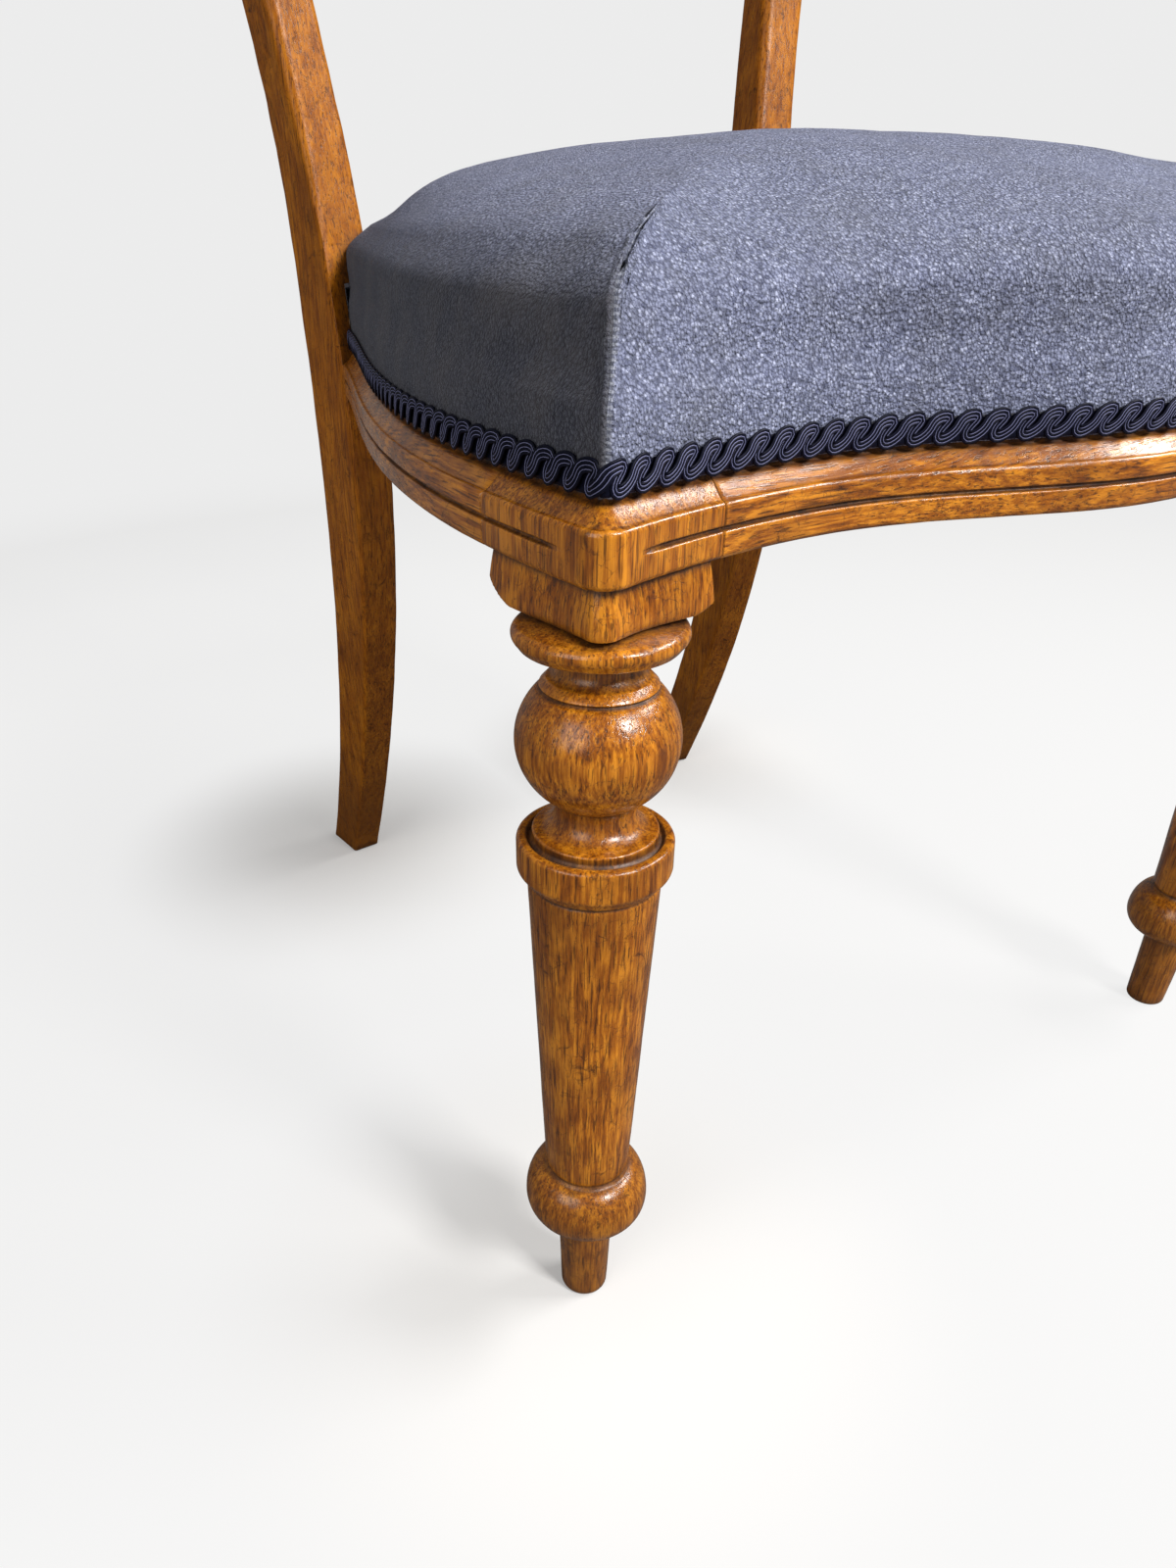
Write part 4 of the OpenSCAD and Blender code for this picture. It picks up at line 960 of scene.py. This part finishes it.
# The side and back panels are painted darker, as painted shade, up to the seams' last rows
painted_side_shade = np.zeros(len(spots))
painted_side_shade_grid = painted_side_shade[:-1].reshape(len(rings), around)
columns = np.arange(around)
on_side = (columns > seam_column) & (columns < around - seam_column)
fading = np.clip(1 - (np.arange(len(rings)) - seam_last + 8) / 10, 0, 1)
painted_side_shade_grid[:] = fading[:, None] * on_side
mesh.attributes.new("painted_side_shade", "FLOAT", "POINT").data.foreach_set("value", painted_side_shade)

cloth_mid, cloth_dark, cloth_pale = (0.265, 0.290, 0.435), (0.105, 0.118, 0.205), (0.50, 0.54, 0.74)
seam_tone, patch_tone, stitch_long = (0.66, 0.70, 0.84), (0.10, 0.10, 0.105), 1.7
chenille, tree, surface, place = new_finish("slate chenille")
in_pile = wandering(tree, place, 160, detail=2, reach=0.0012)
loops = put(tree, "TexVoronoi", {"feature": "F1"}, Vector=in_pile, Scale=850, Randomness=0.9)
tufts = put(tree, "TexVoronoi", {"feature": "F1"}, Vector=in_pile, Scale=1500, Randomness=1.0)
tone = put(tree, "SeparateColor", Color=loops.outputs["Color"]).outputs[0]
patch = speckle(tree, place, 36, detail=4, rough=0.65)
fuzz = speckle(tree, place, 2600)
body = ramp(tree, tone, (0.0, cloth_dark), (0.26, cloth_mid), (0.74, cloth_mid), (1.0, cloth_pale))
edge = ramp(tree, loops.outputs["Distance"], (0.30, 0.0), (0.70, 0.8))
body = tinted(tree, edge, body, shaded(cloth_dark, 0.55))
body = tinted(tree, ramp(tree, fuzz, (0.58, 0.0), (0.72, 0.3)), body, cloth_pale)
body = tinted(tree, ramp(tree, patch, (0.45, 0.0), (0.75, 0.35)), body, patch_tone)
worn_seam = ramp(tree, times(tree, mark_on(tree, "seam"), 0.25), (0.10, 0.95), (0.28, 0.0))
height = put(tree, "SeparateXYZ", Vector=place).outputs[2]
stitch = reckoned(tree, times(tree, height, math.tau / (stitch_long * MM)), 0, "SINE")
worn_seam = times(tree, worn_seam, ramp(tree, stitch, (0.0, 0.25), (0.5, 1.0)))
body = tinted(tree, worn_seam, body, seam_tone)
# Painted shade: the side and back panels take this darker tone.
side_shade_tone = ramp(tree, patch, (0.38, (0.022, 0.021, 0.026)), (0.68, (0.060, 0.054, 0.055)))
body = tinted(tree, times(tree, mark_on(tree, "painted_side_shade"), 0.86), body, side_shade_tone)
pile = blend_of(tree, (loops.outputs["Distance"], -1.0), (tufts.outputs["Distance"], -0.5))
bump = put(tree, "Bump", Height=pile, Strength=1.0, Distance=0.0012).outputs[0]
set_surface(tree, surface, Base_Color=body, Roughness=0.92, Normal=bump, Specular_IOR_Level=0.2,
            Sheen_Weight=0.2, Sheen_Roughness=0.45, Sheen_Tint=(0.6, 0.66, 0.8, 1))
mesh.materials.append(chenille)
cover = bpy.data.objects.new("seat_cover_cloth", mesh)
bpy.context.scene.collection.objects.link(cover)
wall = cover.modifiers.new("cloth thickness", "SOLIDIFY")
wall.thickness, wall.offset = 1.2 * MM, -1
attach(cover, "root")
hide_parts("seat_cover")

# Gimp: a navy scroll braid glued over the tacked edge of the cover, one run round the front and
# sides and one across the back. Fine cords lie side by side in a slanted wave on a narrow band.
gimp_h, cord_out, cord_drop = 12.5, 1.25, 1.5
gimp_z = hem_z + 0.2
gimp_counts = (110, 9, 100, 2, 60)
navy, tree, surface, place = new_finish("navy gimp")
# Painted shade: the cords are darkened towards black where ambient occlusion finds them crowded together.
near = put(tree, "AmbientOcclusion", {"samples": 8}, Distance=0.0022).outputs["AO"]
cord_colour_with_painted_light = ramp(tree, speckle(tree, place, 1400, detail=3, rough=0.6),
                 (0.30, (0.0015, 0.002, 0.007)), (0.62, (0.004, 0.005, 0.016)))
cord_colour_with_painted_light = tinted(tree, ramp(tree, near, (0.25, 1.0), (0.80, 0.0)), cord_colour_with_painted_light, (0.002, 0.002, 0.006))
# Painted highlight: the fine cords are coloured pale, standing in for light catching the cords' ridges.
cord_colour_with_painted_light = tinted(tree, mark_on(tree, "fine"), cord_colour_with_painted_light, (0.19, 0.20, 0.36))
set_surface(tree, surface, Base_Color=cord_colour_with_painted_light, Roughness=0.45, Specular_IOR_Level=0.10)

braid = bpy.data.node_groups.new("scroll gimp", "GeometryNodeTree")
face = braid.interface
face.new_socket("Geometry", in_out="INPUT", socket_type="NodeSocketGeometry")
for label, kind, value in (
        ("Pitch", "Float", 10.1 * MM), ("Swing", "Float", 3.4 * MM), ("Slant", "Float", 0.72),
        ("Arch", "Float", 1.0 * MM), ("Top share", "Float", 0.6), ("Cord spacing", "Float", 0.56 * MM),
        ("Cord radius", "Float", 0.5 * MM), ("Fine share", "Float", 0.24), ("Fine rise", "Float", 0.36 * MM),
        ("Weave depth", "Float", 0.7 * MM), ("Cords", "Int", 7), ("Samples", "Int", 20)):
    face.new_socket(label, in_out="INPUT", socket_type="NodeSocket" + kind).default_value = value
face.new_socket("Geometry", in_out="OUTPUT", socket_type="NodeSocketGeometry")
given = put(braid, "NodeGroupInput").outputs


def math_of(a, b=0.0, kind="MULTIPLY"):
    return put(braid, "Math", {"operation": kind}, _0=a, _1=b).outputs[0]


def vector_of(kind, a, **more):
    return put(braid, "VectorMath", {"operation": kind}, _0=a, **more).outputs[0]


# One wave to a pitch along the path, leaning over and arched, with its cords side by side across it
path = put(braid, "GeometryNodeMeshToCurve", Mesh=given["Geometry"]).outputs[0]
length = put(braid, "GeometryNodeCurveLength", Curve=path).outputs[0]
turns = math_of(math_of(length, given["Pitch"], "DIVIDE"), kind="FLOOR")
line = put(braid, "GeometryNodeCurvePrimitiveLine", End=(0, 0, 1)).outputs[0]
line = put(braid, "GeometryNodeResampleCurve", Curve=line, Count=math_of(turns, given["Samples"])).outputs[0]
copies = put(braid, "GeometryNodeDuplicateElements", {"domain": "SPLINE"}, Geometry=line,
             Amount=given["Cords"])
run = put(braid, "GeometryNodeSplineParameter").outputs["Factor"]
angle = math_of(math_of(run, turns), math.tau)
sine, cosine = math_of(angle, kind="SINE"), math_of(angle, kind="COSINE")
rise = math_of(cosine, math_of(given["Swing"], -1.0))
pace = math_of(given["Pitch"], math.tau, "DIVIDE")
climb = math_of(sine, given["Swing"])
twice = math_of(angle, 2)
wider = math_of(math_of(cosine, math_of(given["Top share"], -1.0)), 1.0, "ADD")
widening = math_of(math_of(math_of(twice, kind="COSINE"), math_of(given["Arch"], 2)), wider)
bend_more = math_of(math_of(math_of(twice, kind="SINE"), given["Arch"]), math_of(sine, given["Top share"]))
widening = math_of(widening, bend_more, "ADD")
ahead = math_of(math_of(pace, widening, "ADD"), math_of(climb, given["Slant"]), "ADD")
side_step = put(braid, "CombineXYZ", X=math_of(climb, -1.0), Z=ahead).outputs[0]
side_step = vector_of("NORMALIZE", side_step)
middle_cord = math_of(math_of(given["Cords"], 1, "SUBTRACT"), 0.5)
number = math_of(copies.outputs["Duplicate Index"], middle_cord, "SUBTRACT")
side_step = vector_of("SCALE", side_step, Scale=math_of(number, given["Cord spacing"]))
step = put(braid, "SeparateXYZ", Vector=side_step).outputs
arching = math_of(math_of(math_of(twice, kind="SINE"), given["Arch"]), wider)
lean = math_of(math_of(rise, given["Slant"]), arching, "ADD")
along = math_of(math_of(run, length), math_of(lean, step[0], "ADD"), "ADD")
height = math_of(rise, step[2], "ADD")
spot = put(braid, "GeometryNodeSampleCurve", {"mode": "LENGTH"}, Curves=path, Length=along).outputs
out = vector_of("CROSS_PRODUCT", spot["Tangent"], _1=(0, 0, 1))
fine = math_of(copies.outputs["Duplicate Index"], 2, "MODULO")
fore = math_of(math_of(sine, given["Weave depth"]), math_of(fine, given["Fine rise"]), "ADD")
out = vector_of("SCALE", out, Scale=fore)
up = put(braid, "CombineXYZ", Z=height).outputs[0]
laid = vector_of("ADD", vector_of("ADD", spot["Position"], _1=out), _1=up)
cords = put(braid, "GeometryNodeStoreNamedAttribute", Geometry=copies.outputs["Geometry"], Name="fine",
            Value=fine).outputs[0]
cords = put(braid, "GeometryNodeSetPosition", Geometry=cords, Position=laid).outputs[0]
thick = math_of(fine, math_of(given["Fine share"], 1, "SUBTRACT"))
ring = put(braid, "GeometryNodeCurvePrimitiveCircle", Resolution=5, Radius=given["Cord radius"]).outputs[0]
cords = put(braid, "GeometryNodeCurveToMesh", Curve=cords, Profile_Curve=ring, Fill_Caps=True,
            Scale=math_of(thick, 1, "ADD")).outputs[0]
cords = put(braid, "GeometryNodeSetShadeSmooth", Geometry=cords).outputs[0]
cords = put(braid, "GeometryNodeRealizeInstances", Geometry=cords).outputs[0]
cords = put(braid, "GeometryNodeSetMaterial", Geometry=cords, Material=navy).outputs[0]
put(braid, "NodeGroupOutput", Geometry=cords)


def gimp_line(inset, z):
    """The gimp's path round the front and sides, and the one across the back."""
    half = half_outline(inset, z, 0, 0, gimp_counts)
    first = sum(gimp_counts[:3])
    side_run, rear_run = half[:first], half[first + 2 * gimp_counts[3] + 1:]
    front = [(x, y, z) for x, y, _ in side_run[::-1]] + [(-x, y, z) for x, y, _ in side_run[1:]]
    rear = [(-x, y, z) for x, y, _ in rear_run] + [(x, y, z) for x, y, _ in rear_run[-2::-1]]
    return front, rear


# Section of the band that the cords are sewn to: how far out from the cover, and how far up
band_rows = [(0, 0.6), (0, gimp_h - 4.8), (0.5, gimp_h - 4.4), (0.8, gimp_h - 5), (0.8, 1), (0.5, 0.2)]
for index, name in enumerate(("front", "rear")):
    cord_path = placed(gimp_line(cover_in - layer_gap - cord_out, gimp_z + gimp_h / 2 - cord_drop)[index])
    mesh = bpy.data.meshes.new(f"gimp_cords_{name}")
    mesh.from_pydata(cord_path, [(i, i + 1) for i in range(len(cord_path) - 1)], [])
    scroll = bpy.data.objects.new(f"gimp_cords_{name}", mesh)
    bpy.context.scene.collection.objects.link(scroll)
    scroll.modifiers.new("scrolls", "NODES").node_group = braid
    mesh = bpy.data.meshes.new_from_object(scroll.evaluated_get(bpy.context.evaluated_depsgraph_get()))
    scroll.modifiers.clear()
    scroll.data = mesh
    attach(scroll, "root")
    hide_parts("gimp_braid")
    columns = [gimp_line(cover_in - layer_gap - out, gimp_z + up)[index] for out, up in band_rows]
    band, band_faces = solid_of([list(ring) for ring in zip(*columns)])
    mesh = bpy.data.meshes.new(f"gimp_band_{name}")
    mesh.from_pydata(placed(band), [], band_faces)
    mesh.materials.append(navy)
    band = bpy.data.objects.new(f"gimp_band_{name}", mesh)
    bpy.context.scene.collection.objects.link(band)
    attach(band, "root")
    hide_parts("gimp_braid")

# Floor, world and lamps: a pale studio sweep. Near the chair the floor is plain and takes its
# shadow; further off it melts into the background's grey.
floor_reach, plain_from, plain_to = 12.0, 0.3, 1.7
# Greys of the far and the near background, and of the floor as the camera, the chair and polish see it
sky_grey, near_grey, paper_grey, floor_grey = 0.84, 0.915, 0.78, 0.30
mirrored_grey, mirrored_glow = 0.12, 0.15
# Share of the glow beside a foot and away from it, and where the first turns into the second
foot_glow, near_glow, foot_near, foot_far = 0.25, 0.86, 0.03, 0.20
floor_mesh = bpy.data.meshes.new("floor")
floor_mesh.from_pydata([(-floor_reach, -floor_reach, 0), (floor_reach, -floor_reach, 0),
                        (floor_reach, floor_reach, 0), (-floor_reach, floor_reach, 0)], [], [(0, 1, 2, 3)])
floor = bpy.data.objects.new("floor", floor_mesh)
bpy.context.scene.collection.objects.link(floor)
floor_paint, tree, matt, place = new_finish("studio floor")
seen = put(tree, "LightPath").outputs
paper = tinted(tree, seen["Is Camera Ray"], (floor_grey,) * 3, (paper_grey,) * 3)
paper = tinted(tree, seen["Is Glossy Ray"], paper, (mirrored_grey,) * 3)
set_surface(tree, matt, Base_Color=paper, Roughness=0.9, Specular_IOR_Level=0.1)
distance = put(tree, "VectorMath", {"operation": "LENGTH"}, _0=place)
far_share = put(tree, "MapRange", {"interpolation_type": "SMOOTHERSTEP"}, Value=distance.outputs["Value"],
                From_Min=plain_from, From_Max=plain_to).outputs[0]
glow = put(tree, "Emission", Color=tinted(tree, far_share, (near_grey,) * 3, (sky_grey,) * 3)).outputs[0]
mirrored = times(tree, seen["Is Glossy Ray"], mirrored_glow)
seen_share = reckoned(tree, mirrored, seen["Is Camera Ray"], "MAXIMUM")
far_share = times(tree, far_share, seen_share)
# The feet whose shadows show: the near front one and both rear ones
feet = [(-leg_x, 0)] + [(side * (rear_half - foot_w / 2), back_face(0) + foot_d / 2) for side in (-1, 1)]
nearest = foot_far
for foot in placed([(*foot, 0) for foot in feet]):
    apart = put(tree, "VectorMath", {"operation": "DISTANCE"}, _0=place, _1=foot).outputs["Value"]
    nearest = reckoned(tree, nearest, apart, "MINIMUM")
near_share = put(tree, "MapRange", {"interpolation_type": "SMOOTHSTEP"}, Value=nearest, From_Min=foot_near,
                 From_Max=foot_far, To_Min=foot_glow, To_Max=near_glow).outputs[0]
far_share = reckoned(tree, far_share, times(tree, seen["Is Camera Ray"], near_share), "MAXIMUM")
blended = put(tree, "MixShader", _0=far_share, _1=matt.outputs[0], _2=glow)
tree.links.new(blended.outputs[0], tree.nodes["Material Output"].inputs["Surface"])
floor_mesh.materials.append(floor_paint)

world = bpy.data.worlds.new("studio")
bpy.context.scene.world = world
world.use_nodes = True
tree = world.node_tree
fill_light = 0.22
air = tree.nodes["Background"]
air.inputs["Color"].default_value = (1.0, 0.99, 0.97, 1)
air.inputs["Strength"].default_value = fill_light
plain = put(tree, "Background", Color=(sky_grey, sky_grey, sky_grey, 1), Strength=1).outputs[0]
seen = put(tree, "LightPath")
mixed = put(tree, "MixShader", _0=seen.outputs["Is Camera Ray"], _1=air.outputs[0], _2=plain)
tree.links.new(mixed.outputs[0], tree.nodes["World Output"].inputs["Surface"])

lamp_aim = Vector((0, 0, 0.35))
for name, place, size, power, tint in (
        ("window", (0.45, -2.10, 1.85), (0.65, 0.65), 66, (1.0, 0.98, 0.95)),
        ("side window", (1.72, -0.72, 1.78), (1.3, 0.4), 46, (1.0, 0.98, 0.95)),
        ("bounce", (-2.0, -0.9, 1.2), (1.4, 1.4), 17, (1.0, 0.96, 0.90))):
    lamp = bpy.data.lights.new(name, "AREA")
    lamp.shape = "RECTANGLE"
    lamp.size, lamp.size_y = size
    lamp.energy, lamp.color = power, tint
    light = bpy.data.objects.new(name, lamp)
    bpy.context.scene.collection.objects.link(light)
    light.location = place
    light.rotation_euler = (lamp_aim - Vector(place)).to_track_quat("-Z", "Y").to_euler()

scene = bpy.context.scene
scene.view_settings.view_transform = "Standard"
